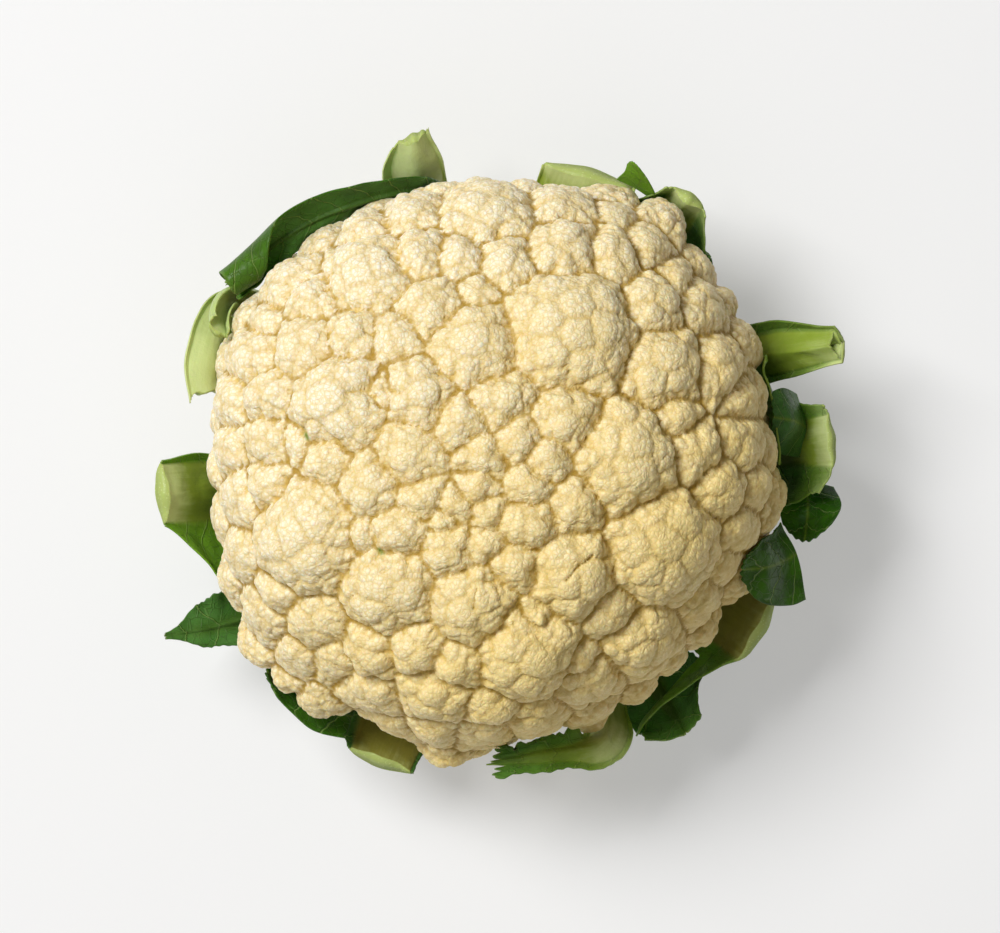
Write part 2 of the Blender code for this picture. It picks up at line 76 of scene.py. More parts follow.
# Florets as seen from above: x, y, radius, and how far each one is sunk below the dome
FLORETS = (
    # round the growing point
    (-2, 2.5, 7, 0), (-3.5, -5, 5.5, 0), (7.5, 7, 7, 0), (16, 2, 6.5, 0), (11, -5, 6.5, 0), (-10, -11, 5, 1),
    (-0.5, -12.5, 5, 1), (-13, -15, 4.5, 1), (-20, -8.5, 6.5, 0), (10.5, -17, 8.5, 0), (24.5, -11, 8.5, 0),
    (-1.5, -22, 5.5, 1), (-12, -23.5, 8, 0), (7.5, -28, 7.5, 1), (-26, -18, 8, 0), (-37, -19, 5.5, 1),
    (3, 19, 9, 0), (-8, 13, 7.5, 0), (-23, 4, 9, 0), (-34, -6, 9, 0), (21.5, 13.5, 9.5, 0), (-20, 20, 10, 0),
    (-32, 20.5, 5, 2),
    # the shoulders
    (23, 39, 18, -2), (-4, 34, 12, 0), (-44, 17.5, 14, -1), (39, 2, 15, -1), (-53, -20, 16, -1),
    (-29, -35, 13, 0), (-5, -39, 12, 0), (24, -31, 13, 0), (50, -24, 17, -1), (54, 15, 7, 2), (60, 4, 9, 2),
    (51, 28, 12, 0), (47.5, 47, 9.5, 0), (21.5, 63.5, 11, 0), (4.5, 60, 8.5, 1), (-8.5, 61.5, 7.5, 1),
    (35, 61.5, 9, 1), (45.5, 64, 7.5, 2), (54, 54, 7, 2), (-27, 38, 6.5, 2), (-40, 39, 8, 1),
    (-18.5, 46, 8.5, 1), (-36, 57, 15, 0), (-22, 62, 9.5, 1), (-52.5, 49, 10, 1), (-55, 35.5, 10.5, 1),
    (-55.5, 7, 5.5, 3), (-47, 2.5, 7, 1), (-65, 7, 8.5, 1), (-65.5, 21, 9.5, 0), (-65, -5, 8.5, 1),
    (-51, -47, 8.5, 4), (-45.5, -56.5, 7.5, 5), (-35.5, -54.5, 9, 1), (-21, -53, 9.5, 1), (-11.5, -57, 8, 1),
    (11.5, -53.5, 15, 0), (13, -43, 6.5, 0), (36, -43, 7.5, 4), (44.5, -53, 12.5, 2), (27, -57.5, 6.5, 4),
    # the rim
    (74, 8, 9.5, 3), (67, -5, 8.5, 2), (75.5, -8.5, 10, 6), (66, 28, 10, 1), (73, 19, 8, 2), (60.5, 47, 9, 1),
    (-1, 74, 14, 0), (20, 75, 9, 1), (36, 73.5, 9, 3), (47, 69, 11, 2), (58, 55, 8.5, 2), (65, 46, 8, 4),
    (70, 35, 9, 3), (-37, 69, 9.5, 2), (-24, 74, 9.5, 2), (-59, 54, 11, 2), (-66, 43, 7.5, 3),
    (-70, 32, 11, 2), (-75.5, 19, 9.5, 2), (-76, 5.5, 8.5, 2), (-73, -8, 8.5, 3), (-70, -32, 9, 6),
    (-62, -41, 8.5, 6), (-65, -50, 9.5, 9), (-56, -59, 8.5, 8), (-50, -64, 9, 9), (-35, -66, 8.5, 3),
    (-17.5, -66, 10, 2), (-14, -75, 10.5, 16), (-5, -79, 8.5, 20), (-1, -71.5, 8.5, 12), (12, -68, 9.5, 9),
    (31, -64, 10.5, 5), (29, -72, 7, 18), (56, -46, 9.5, 8), (68, -27, 11, 9), (50, -52, 8, 16),
    (-26, -70, 8.5, 14), (75, -20, 8, 14), (41, -61, 8, 14),
)
FILLER_SIZES = (4.4, 7.5)    # least and greatest radius of the florets that fill the gaps
FILLER_SUNK = 1.6
RIM_SUNK = 5.0               # florets sunk more than this hang on the rim
SITE_INSET = 4.0             # florets are laid out on a surface this far in
PLAN_WEIGHT = 0.60           # of heights against distances in plan, when florets share out the surface
FLORET_RISE = (0.50, 1.5)    # a floret's height above its creases: a share of its radius, and a plain length
DOME_FULLNESS = 2.15         # how far a floret's or lobe's round top keeps up before its side falls
RIM_FULLNESS = 2.2           # how much further the florets stand out at the widest level than at the top
SEED = 7
# Slits in the tops of florets and specks of leaf on them: both ends in plan
SLITS = (((-4.4, -35.0), (-5.0, -41.0)), ((21.5, -33.0), (30.0, -25.0)))
SPECKS = (((-53.7, 9.6), (-53.2, 8.4)), ((-32.2, -23.8), (-31.4, -24.9)))
SLIT_WIDTH = 0.45
SLIT_DEPTH = 0.9

# The stalk
TRUNK_PROFILE = ((0, 40), (17, 40), (24, 34), (20.5, 25), (20.5, 12), (21, 2.0), (19.5, 0), (0, 0))
BRANCHES = 11
FIRST_BRANCH = 9.0
BRANCH_FROM = (9.0, 26.0)    # distance from the axis and height where a branch leaves the trunk
BRANCH_TO = (57.0, 49.0)
BRANCH_RADII = (8.0, 9.0)
GOLDEN_ANGLE = 137.508

# Leaves. A path is (distance from the axis, azimuth, height) from the stalk to the cut end. Everything
# else is one number, or several spread evenly from the stalk to the cut end. Widths are half widths:
# rib is the thick midrib, ccw and cw are the blades on either side of it. cup is how far the midrib's
# trough turns up at its edges, curl is how fast a blade turns beyond it, in degrees a millimetre, and
# sweep is how far a blade leans towards the cut end. curl_cw and sweep_cw are for the cw blade alone.
# face turns the upper side from up to inwards. ruffle is the height of the waves along a blade's
# margin, and saw is the depth of its teeth as a share of its width.
# pale goes from a dark leaf stalk at 0 to a whitish one at 1, whole says how much of the blade is stalk
# flesh too, olive turns the flesh brownish, and tone goes from a dark blade at 0 to a bright one at 1.
# slant and jag shape the cut end, slant as a share of the leaf's length from one margin to the other.
BLADE_THICKNESS = 0.55
LEAF_GAP = 1.2               # kept clear between a leaf and the curd
LEAF_START = 20.3            # distance from the axis where a leaf leaves the trunk
RUFFLES = 3.4                # waves along a margin
TEETH = 6.5                  # teeth along a margin
LEAVES = {
    "leaf_north_stub": dict(
        path=((LEAF_START, 108, 9), (52, 105, 9.5), (82, 104, 22), (95, 104, 43), (105.5, 103, 57)),
        rib=(4, 5.5, 7, 7.6, 3.8), thick=(7, 8, 7, 6, 4), cup=25, ccw=(1.2, 1.2, 2, 4, 1.2), cw=1.2,
        pale=(0.5, 0.5, 0.7, 1.1, 1.3), whole=1, slant=0.05, jag=0.02),
    "leaf_northwest_blade": dict(
        path=((LEAF_START, 112, 17), (56, 109, 21), (82, 103, 34), (87, 107, 56), (91.5, 127, 62),
              (97, 145.5, 62)),
        rib=(4, 4, 3, 1.2, 1.0, 0.9), thick=(4, 3.5, 3, 1.6, 1.2, 1.0), cup=10, face=(0, 20, 40, 40, 25, 15),
        ccw=(1.2, 1.2, 8, 13, 12, 9), cw=(1.2, 1.2, 3, 5, 10, 26), curl=(0, 0, 0, 1, 2, 4),
        curl_cw=(0, 0, 0, 2, 5, 13), ruffle=0.5, pale=(0.4, 0.3, 0.1, 0, 0, 0), tone=(0, 0, 0.1, 0.1, 0.15, 0.25)),
    "leaf_west_slab": dict(
        path=((LEAF_START, 155, 9), (54, 153, 11), (83, 149, 26), (94, 150, 44), (92.5, 159, 54),
              (87.5, 168.5, 58)),
        rib=(4, 5, 5, 5.5, 6.5, 5.5), thick=(7, 7, 6, 5, 4, 3), cup=20, face=(0, 10, 20, 30, 35, 35),
        ccw=(1.2, 1.2, 1.2, 2, 3, 2), cw=(1.2, 1.2, 1.2, 2, 2, 1.2), pale=(0.5, 0.5, 0.5, 0.7, 1.0, 1.1),
        whole=1, slant=0.05, jag=0.02),
    "leaf_west_curl": dict(
        path=((LEAF_START, 138, 16), (54, 142, 17.5), (82, 145, 33), (94, 148, 55), (91, 154.5, 68)),
        rib=(4, 4, 4, 5, 4.5), thick=(5, 5, 4, 2.5, 2), cup=50, face=(0, 10, 30, 30, 20),
        ccw=(1.2, 1.2, 2, 6, 5), cw=(1.2, 1.2, 2, 6, 5), curl=(0, 0, 4, 12, 14), pale=(0.4, 0.4, 0.4, 0.8, 1.0),
        whole=0.75, tone=1),
    "leaf_west_petiole": dict(
        path=((LEAF_START, 188, 9), (50, 186, 11), (80, 185, 26), (92, 184.8, 40), (101.5, 184.6, 55)),
        rib=(4, 6, 9, 9.6, 9.4), thick=(7, 8, 7, 6, 5), cup=28,
        ccw=(1.2, 3, 24, 27, 1.2), cw=(1.2, 1.2, 2, 3, 1.2), curl=0.4, ruffle=1.0,
        pale=(0.3, 0.3, 0.2, 0.42, 1.0), tone=0.8),
    "leaf_southwest_blade": dict(
        path=((LEAF_START, 218, 9), (52, 213, 11), (84, 212, 25), (98, 210, 34), (112, 207.4, 40)),
        rib=(4, 4, 2, 1.1, 0.5), thick=(6, 6, 3, 1.2, 0.6), cup=12,
        ccw=(1.2, 1.2, 9, 6, 0.6), cw=(1.2, 1.2, 12, 9, 0.6), curl=(0, 0, 0.5, 1, 1), ruffle=1.4, saw=0.12,
        pale=(0.3, 0.2, 0, 0, 0), tone=0.12),
    "leaf_south_petiole": dict(
        path=((LEAF_START, 258, 9), (48, 252, 10), (72, 250, 16), (88, 249.5, 26), (98, 249.3, 36)),
        rib=(4, 6.5, 9.5, 11, 10.5), thick=(7, 8, 7, 6, 5), cup=30,
        ccw=1.2, cw=(1.2, 1.2, 14, 33, 1.2), curl=-0.2, sweep=0.1, ruffle=1.6, saw=0.3,
        pale=(0.3, 0.3, 0.3, 0.4, 0.7), olive=1, tone=0.1),
    "leaf_south_blade": dict(
        path=((LEAF_START, 296, 17), (56, 298, 19.5), (82, 295.5, 29), (92, 292, 43), (89, 282.5, 53),
              (89, 269, 56)),
        rib=(4, 4, 5.5, 6, 2.2, 1.0), thick=(5, 5, 6, 5, 2, 1.0), cup=20, face=(0, 0, 10, 30, 20, 10),
        ccw=(1.2, 1.2, 1.2, 2, 4, 6), cw=(1.2, 1.2, 1.2, 2.5, 11, 13), ruffle=1.0, saw=0.3,
        pale=(0.5, 0.5, 0.5, 0.85, 0.5, 0.2), tone=(0.3, 0.3, 0.4, 0.7, 0.35, 0.3), whole=(0.6, 0.6, 0.5, 0.7, 0.15, 0),
        jag=0.05),
    "leaf_southeast_blade": dict(
        path=((LEAF_START, 296, 9), (50, 304, 11), (76, 306.5, 18), (90, 306.5, 26), (101, 306, 36)),
        rib=(4, 5.5, 4, 2, 0.8), thick=(7, 7, 4, 1.6, 0.8), cup=15,
        ccw=(1.2, 1.2, 10, 17, 8), cw=(1.2, 1.2, 8, 13, 13), curl=(0, 0, 0.6, 1.6, 3), ruffle=1.6, saw=0.08,
        pale=(0.3, 0.2, 0.05, 0, 0), tone=(0, 0, 0, 0.05, 0.3)),
    "leaf_southeast_petiole": dict(
        path=((LEAF_START, 328, 9), (50, 329.5, 11), (76, 329.3, 24), (90, 329.2, 37), (98, 329, 50)),
        rib=(4, 6, 9, 12, 12), thick=(7, 8, 7, 6, 4), cup=30,
        ccw=(1.2, 1.2, 3, 10, 12), cw=(1.2, 1.2, 2, 6, 38), curl=(0, 0, 0.5, 1, 1.6), curl_cw=-1.2,
        sweep_cw=-0.5, ruffle=1.0, pale=(0.3, 0.3, 0.3, 0.5, 0.75), olive=0.9, tone=0.6, slant=0.03, jag=0.02),
    "leaf_east_blade": dict(
        path=((LEAF_START, 357, 9), (50, 1, 11), (80, 4, 23), (93, 4.3, 37), (104.5, 4.5, 52)),
        rib=(4, 6, 7, 6, 8), thick=(7, 8, 7, 5, 3), cup=25,
        ccw=(1.2, 1.2, 6, 10, 4), cw=(1.2, 1.2, 12, 18, 10), curl=(0, 0, 1, 1.5, 2), ruffle=1.4, saw=0.1,
        pale=(0.1, 0.1, 0, 0.1, 0.9), tone=(0, 0, 0, 0.1, 0.5), whole=(0, 0, 0, 0, 0.4)),
    "leaf_east_inner": dict(
        path=((LEAF_START, 12, 17), (52, 12, 19), (78, 12, 29.5), (87.5, 12, 46), (87, 12, 63)),
        rib=(4, 4, 3, 1.2, 0.8), thick=(5, 5, 3, 1.2, 0.8), cup=5,
        ccw=(1.2, 1.2, 6, 17, 18), cw=(1.2, 1.2, 6, 17, 17), curl=0.6, ruffle=0.6, saw=0.1,
        pale=(0.4, 0.3, 0.2, 0.2, 0.4), tone=(0.2, 0.2, 0.3, 0.4, 0.9), whole=(0, 0, 0, 0.1, 0.35), jag=0.02),
    "leaf_east_petiole": dict(
        path=((LEAF_START, 27, 9), (50, 25.5, 11), (80, 23.5, 25), (97, 21.6, 42), (112.5, 19.4, 58)),
        rib=(4, 5, 7, 7.4, 5.4), thick=(7, 8, 7, 7, 4), cup=40,
        ccw=(1.2, 1.2, 7, 5, 1.2), cw=(1.2, 1.2, 5, 2, 1.2), curl=1.0, ruffle=0.6, pale=(0.2, 0.2, 0.1, 0.5, 0.95),
        whole=(0, 0, 0.1, 0.4, 1),
        slant=-0.24),
    "leaf_northeast_petiole": dict(
        path=((LEAF_START, 50, 17), (52, 52, 19), (81, 53.5, 28), (97, 53.8, 46), (102, 53.6, 61)),
        rib=(4, 4, 5, 6, 5.5), thick=(5, 5, 5, 5, 4), cup=35,
        ccw=(1.2, 1.2, 5, 12, 4), cw=(1.2, 1.2, 8, 22, 3), curl=(0.5, 0.5, 1, 3, 3), sweep=0.2, ruffle=0.8,
        saw=0.12, pale=(0.5, 0.4, 0.3, 0.5, 0.95), tone=(0.2, 0.2, 0.2, 0.1, 0.3), whole=(0, 0, 0, 0, 0.5)),
    "leaf_north_petiole": dict(
        path=((LEAF_START, 77, 9), (50, 74, 10), (80, 71.6, 24), (89, 71.4, 36), (97, 71.4, 45)),
        rib=(4, 6, 11, 14, 14), thick=(7, 8, 7, 6, 5), cup=24, ccw=1.2, cw=1.2,
        pale=(0.4, 0.4, 0.4, 0.6, 0.95), whole=1, olive=0.15, slant=0.04),
}

# Sheets of blade that fold away from a leaf: rows of points across, from where they join to their free
# edge, and the same last five values as a leaf
SHEETS = {
    "leaf_south_petiole": (dict(
        rows=(((-40, -70, 34), (-42, -76, 40), (-44, -82, 46)),
              ((-48, -66, 38), (-51, -72.5, 46), (-53, -80, 50)),
              ((-56, -61, 42), (-59, -67, 50), (-61.5, -73, 54)),
              ((-63, -56, 46), (-66, -60.5, 54), (-68.5, -65, 57))),
        pale=0, tone=0.1, ruffle=1.6),),
    "leaf_southeast_petiole": (dict(
        rows=(((86, -16, 56), (92, -26, 56), (95, -40, 52)),
              ((83, -17, 60), (88.5, -28, 58), (90, -42, 55)),
              ((76, -19, 67), (82, -30, 67), (82, -42, 62)),
              ((69, -21, 72), (73, -30, 72), (75, -38, 69))),
        pale=0, tone=0.12, ruffle=1.0),),
    "leaf_east_blade": (dict(
        rows=(((93, 3, 44), (95, 12, 46), (92, 22, 48)),
              ((86, 4, 56), (90, 14, 61), (87, 24, 58)),
              ((81, 6, 58), (84, 15, 64), (82, 23, 61))),
        pale=0, tone=0.08, ruffle=0.8),
        dict(
        rows=(((88, -3, 38), (96, -4, 40), (104, -6, 42)),
              ((87, -12, 42), (96, -13, 45), (106, -12, 50)),
              ((88, -20, 40), (95, -23, 43), (101, -20, 54))),
        pale=0, tone=0.05, ruffle=1.4)),
    "leaf_northeast_petiole": (dict(
        rows=(((38, 87, 54), (44, 84, 55), (50, 80, 54)),
              ((40, 89, 60), (45, 87, 62), (49, 83, 60)),
              ((41, 92.5, 64), (43, 91, 66), (46, 88, 65))),
        pale=0, tone=0.75, ruffle=0.5),),
}


def profile(values, share):
    """A number, or several spread evenly from 0 to 1, read at a share of the way with eased steps."""
    if isinstance(values, (int, float)):
        return float(values)
    place = min(max(share, 0.0), 1.0) * (len(values) - 1)
    first = min(int(place), len(values) - 2)
    part = place - first
    eased = part * part * (3 - 2 * part)
    return values[first] + (values[first + 1] - values[first]) * eased


def reach_at(azimuth):
    """The curd's plan radius at an azimuth in degrees."""
    place = (azimuth % 360.0) / REACH_STEP
    first = int(place) % len(REACH)
    part = place - int(place)
    eased = part * part * (3 - 2 * part)
    return REACH[first] + (REACH[(first + 1) % len(REACH)] - REACH[first]) * eased


def dome_level(x, y, inset):
    """Height of the dome, taken in by inset, above the point x, y. Beyond its edge it is the widest level."""
    room = max(reach_at(math.degrees(math.atan2(y, x))) - inset, 1.0)
    share = min(math.hypot(x, y) / room, 1.0)
    return WIDEST_LEVEL + (CROWN_RISE - inset) * (1 - share ** DOME_POWER) ** (1 / DOME_POWER)


def around(distance, azimuth, height):
    """The point at a distance from the axis, an azimuth in degrees and a height."""
    turn = math.radians(azimuth)
    return Vector((distance * math.cos(turn), distance * math.sin(turn), height))


def whole_shape(ways, inset=0.0):
    """Points of the curd's whole outer shape, taken in by inset, in the directions given from its middle."""
    azimuth = numpy.degrees(numpy.arctan2(ways[:, 1], ways[:, 0])) % 360.0 / REACH_STEP
    first = azimuth.astype(int) % len(REACH)
    part = azimuth - azimuth.astype(int)
    reach = numpy.array(REACH, dtype=float)
    room = reach[first] + (numpy.roll(reach, -1)[first] - reach[first]) * part * part * (3 - 2 * part) - inset
    flat = numpy.hypot(ways[:, 0], ways[:, 1]) / room
    top = ways[:, 2] > 0
    tall = numpy.abs(ways[:, 2]) / numpy.where(top, CROWN_RISE - inset, UNDERSIDE - inset)
    power = numpy.where(top, DOME_POWER, 2.0)
    length = (flat ** power + tall ** power) ** (-1 / power)
    return numpy.array(CROWN_CENTRE) + ways * length[:, None]


def floret_sites(places, draw):
    """Where the florets sit on the laid-out surface, their radii, and how far each one's top stands out.

    Those in the table come first. Then the widest gap left takes a filler, over and over."""
    sites, sizes, tops = [], [], []
    for x, y, radius, sunk in FLORETS:
        centre = numpy.array((x, y, dome_level(x, y, radius) - sunk)) - CROWN_CENTRE
        length = numpy.linalg.norm(centre)
        way = centre[None] / length
        edge = reach_at(math.degrees(math.atan2(y, x))) - SITE_INSET
        if sunk > RIM_SUNK or math.hypot(x, y) > 0.95 * edge:
            sites.append(whole_shape(way, SITE_INSET)[0])
            tops.append(length + radius - numpy.linalg.norm(whole_shape(way)[0] - CROWN_CENTRE))
        else:
            sites.append(numpy.array((x, y, dome_level(x, y, SITE_INSET))))
            tops.append(0.08 * radius - float(sunk))
        sizes.append(float(radius))
    samples = places[::12] * (1, 1, PLAN_WEIGHT)
    room = numpy.full(len(samples), 1e3)
    for site, size in zip(sites, sizes):
        room = numpy.minimum(room, numpy.linalg.norm(samples - site * (1, 1, PLAN_WEIGHT), axis=1) - size)
    while room.max() > FILLER_SIZES[0]:
        widest = int(room.argmax())
        size = min(room[widest], FILLER_SIZES[1] * draw.uniform(0.8, 1.15))
        sites.append(samples[widest] / (1, 1, PLAN_WEIGHT))
        sizes.append(size)
        tops.append(-FILLER_SUNK - draw.uniform(0, 0.8))
        room = numpy.minimum(room, numpy.linalg.norm(samples - samples[widest], axis=1) - size)
    return numpy.array(sites), numpy.array(sizes), numpy.array(tops)


def dome(share):
    """A full, round dome's height, 1 in the middle and 0 at the crease, where share is 1."""
    return (1 - numpy.clip(share, 0, 1) ** DOME_FULLNESS) ** 0.52


def shared_out(places, sites, sizes, tops):
    """For every place on the laid-out surface: its floret, its share of the way to that floret's crease,
    and how far the florets' domes stand out there."""
    scale = numpy.array((1, 1, PLAN_WEIGHT))
    rises = sizes * FLORET_RISE[0] + FLORET_RISE[1]
    labels, shares, heights = [], [], []
    for first in range(0, len(places), 20000):
        part = places[first:first + 20000] * scale
        apart = numpy.sqrt(((part[:, None, :] - (sites * scale)[None]) ** 2).sum(axis=2))
        rooms = apart - sizes[None]
        order = numpy.argpartition(rooms, 1, axis=1)
        rows = numpy.arange(len(part))
        own = order[:, 0]
        least = rooms[rows, own]
        beside = (rooms[rows, order[:, 1]] - least) / 2
        share = apart[rows, own] / (apart[rows, own] + beside)
        weight = numpy.exp(-numpy.minimum((rooms - least[:, None]) / 4.0, 30.0))
        creases = (weight * (tops - rises)[None]).sum(axis=1) / weight.sum(axis=1)
        labels.append(own)
        shares.append(share)
        heights.append(creases + rises[own] * dome(share))
    return numpy.concatenate(labels), numpy.concatenate(shares), numpy.concatenate(heights)


def lobe_shares(places, labels, spacing, seed):
    """Lobes scattered over each floret by itself. For every place, its share of the way to its lobe's
    crease, and a number from 0 to 1 that goes with the lobe."""
    shares = numpy.zeros(len(places))
    marks = numpy.zeros(len(places))
    order = numpy.argsort(labels, kind="stable")
    groups = numpy.split(order, numpy.flatnonzero(numpy.diff(labels[order])) + 1)
    for n, group in enumerate(groups):
        own = places[group]
        seeds = own[scattered(own, spacing, seed + n)]
        if len(seeds) < 2:
            continue
        first, second, which = two_nearest(own, seeds)
        shares[group] = 2 * first / numpy.maximum(first + second, 1e-9)
        marks[group] = numpy.random.default_rng(seed + n).uniform(0, 1, len(seeds))[which]
    return shares, marks


# Meshes

def near_lines(places, lines, width):
    """1 on any of the short lines in plan, falling to 0 away from them, on the top of the curd only."""
    found = numpy.zeros(len(places))
    for start, end in lines:
        start, way = numpy.array(start) * MM, (numpy.array(end) - numpy.array(start)) * MM
        along = numpy.clip(((places[:, :2] - start) @ way) / (way @ way), 0, 1)
        off = numpy.linalg.norm(places[:, :2] - start - along[:, None] * way, axis=1)
        found = numpy.maximum(found, numpy.exp(-(off / (width * MM)) ** 2))
    return found * (places[:, 2] > WIDEST_LEVEL * MM)


def mesh_from_arrays(name, corners, faces):
    """A mesh from an array of corners in metres and an array of faces, all with as many corners."""
    mesh = bpy.data.meshes.new(name)
    sides = faces.shape[1]
    mesh.vertices.add(len(corners))
    mesh.vertices.foreach_set("co", numpy.ascontiguousarray(corners, dtype=numpy.float32).ravel())
    mesh.loops.add(faces.size)
    mesh.loops.foreach_set("vertex_index", numpy.ascontiguousarray(faces, dtype=numpy.int32).ravel())
    mesh.polygons.add(len(faces))
    mesh.polygons.foreach_set("loop_start", numpy.arange(0, faces.size, sides, dtype=numpy.int32))
    mesh.update(calc_edges=True)
    return mesh


def ball_pattern(subdivisions):
    """Corners and triangles of a ball of radius 1."""
    bm = bmesh.new()
    bmesh.ops.create_icosphere(bm, subdivisions=subdivisions, radius=1.0)
    corners = numpy.array([tuple(vertex.co) for vertex in bm.verts])
    faces = numpy.array([[vertex.index for vertex in face.verts] for face in bm.faces])
    bm.free()
    return corners, faces


def many_balls(balls, pattern):
    """Corners and triangles of a ball for every (centre, radius), from one pattern."""
    centres = numpy.array([tuple(centre) for centre, _ in balls])
    radii = numpy.array([radius for _, radius in balls])
    corners = centres[:, None, :] + pattern[0][None] * radii[:, None, None]
    faces = pattern[1][None] + numpy.arange(len(balls))[:, None, None] * len(pattern[0])
    return corners.reshape(-1, 3), faces.reshape(-1, 3)


def joined(pieces):
    """One set of corners and triangles from several."""
    corners, faces, first = [], [], 0
    for some_corners, some_faces in pieces:
        corners.append(some_corners)
        faces.append(some_faces + first)
        first += len(some_corners)
    return numpy.concatenate(corners), numpy.concatenate(faces)


def new_object(name, mesh, *finishes):
    made = bpy.data.objects.new(name, mesh)
    for finish in finishes:
        mesh.materials.append(finish)
    bpy.context.scene.collection.objects.link(made)
    return made


def settle(obj):
    """Turns the object's modifiers into its own mesh."""
    bpy.context.view_layer.update()
    graph = bpy.context.evaluated_depsgraph_get()
    made = bpy.data.meshes.new_from_object(obj.evaluated_get(graph))
    old = obj.data
    obj.modifiers.clear()
    obj.data = made
    made.name = obj.name
    bpy.data.meshes.remove(old)


def fuse(obj, step):
    """Joins everything in the object's mesh into one skin."""
    skin = obj.modifiers.new("Fuse", "REMESH")
    skin.mode = "VOXEL"
    skin.voxel_size = step
    settle(obj)


def stand_for(obj, node):
    """Shades the piece smoothly and puts it in the place of its node."""
    obj.data.shade_smooth()
    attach(obj, BODY)
    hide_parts(node)


def mesh_arrays(mesh):
    """Corners, edges and corner normals of a mesh as arrays."""
    corners = numpy.empty(len(mesh.vertices) * 3, dtype=numpy.float32)
    mesh.vertices.foreach_get("co", corners)
    edges = numpy.empty(len(mesh.edges) * 2, dtype=numpy.int32)
    mesh.edges.foreach_get("vertices", edges)
    normals = numpy.empty(len(mesh.vertices) * 3, dtype=numpy.float32)
    mesh.vertex_normals.foreach_get("vector", normals)
    return corners.reshape(-1, 3).astype(float), edges.reshape(-1, 2), normals.reshape(-1, 3).astype(float)


def smoothed(values, edges, rounds):
    """Values at the corners, each replaced by the mean of its neighbours, some rounds over."""
    count = len(values)
    first = numpy.concatenate((edges[:, 0], edges[:, 1]))
    second = numpy.concatenate((edges[:, 1], edges[:, 0]))
    degree = numpy.maximum(numpy.bincount(first, minlength=count), 1)
    for _ in range(rounds):
        values = numpy.stack([numpy.bincount(first, values[second, axis], count) / degree
                              for axis in range(values.shape[1])], axis=1)
    return values


def set_attribute(mesh, name, values):
    layer = mesh.attributes.new(name, "FLOAT", "POINT")
    layer.data.foreach_set("value", numpy.ascontiguousarray(values, dtype=numpy.float32))


def scattered(points, spacing, seed):
    """Indices of some of the points, in a random order, none nearer to another than the spacing."""
    order = numpy.random.default_rng(seed).permutation(len(points))
    cells = numpy.floor(points / spacing).astype(int)
    taken, chosen = {}, []
    near = [(a, b, c) for a in (-1, 0, 1) for b in (-1, 0, 1) for c in (-1, 0, 1)]
    for n in order:
        x, y, z = cells[n]
        point = points[n]
        clear = True
        for a, b, c in near:
            for other in taken.get((x + a, y + b, z + c), ()):
                gap = points[other] - point
                if gap @ gap < spacing * spacing:
                    clear = False
                    break
            if not clear:
                break
        if clear:
            taken.setdefault((x, y, z), []).append(n)
            chosen.append(n)
    return chosen


def two_nearest(points, seeds):
    """For every point, the distances to the nearest two seeds, and which one is the nearest."""
    tree = KDTree(len(seeds))
    for n, seed in enumerate(seeds):
        tree.insert(seed, n)
    tree.balance()
    found = [tree.find_n(point, 2) for point in points]
    first = numpy.array([pair[0][2] for pair in found])
    second = numpy.array([pair[1][2] for pair in found])
    return first, second, numpy.array([pair[0][1] for pair in found])


def nearest(points, seeds):
    """For every point, which seed is nearest."""
    tree = KDTree(len(seeds))
    for n, seed in enumerate(seeds):
        tree.insert(seed, n)
    tree.balance()
    return numpy.array([tree.find(point)[1] for point in points])


def wobble(points):
    """A smooth random vector for every point, with a wavelength of about 1."""
    return numpy.array([tuple(noise.noise_vector(point)) for point in points])


# Finishes

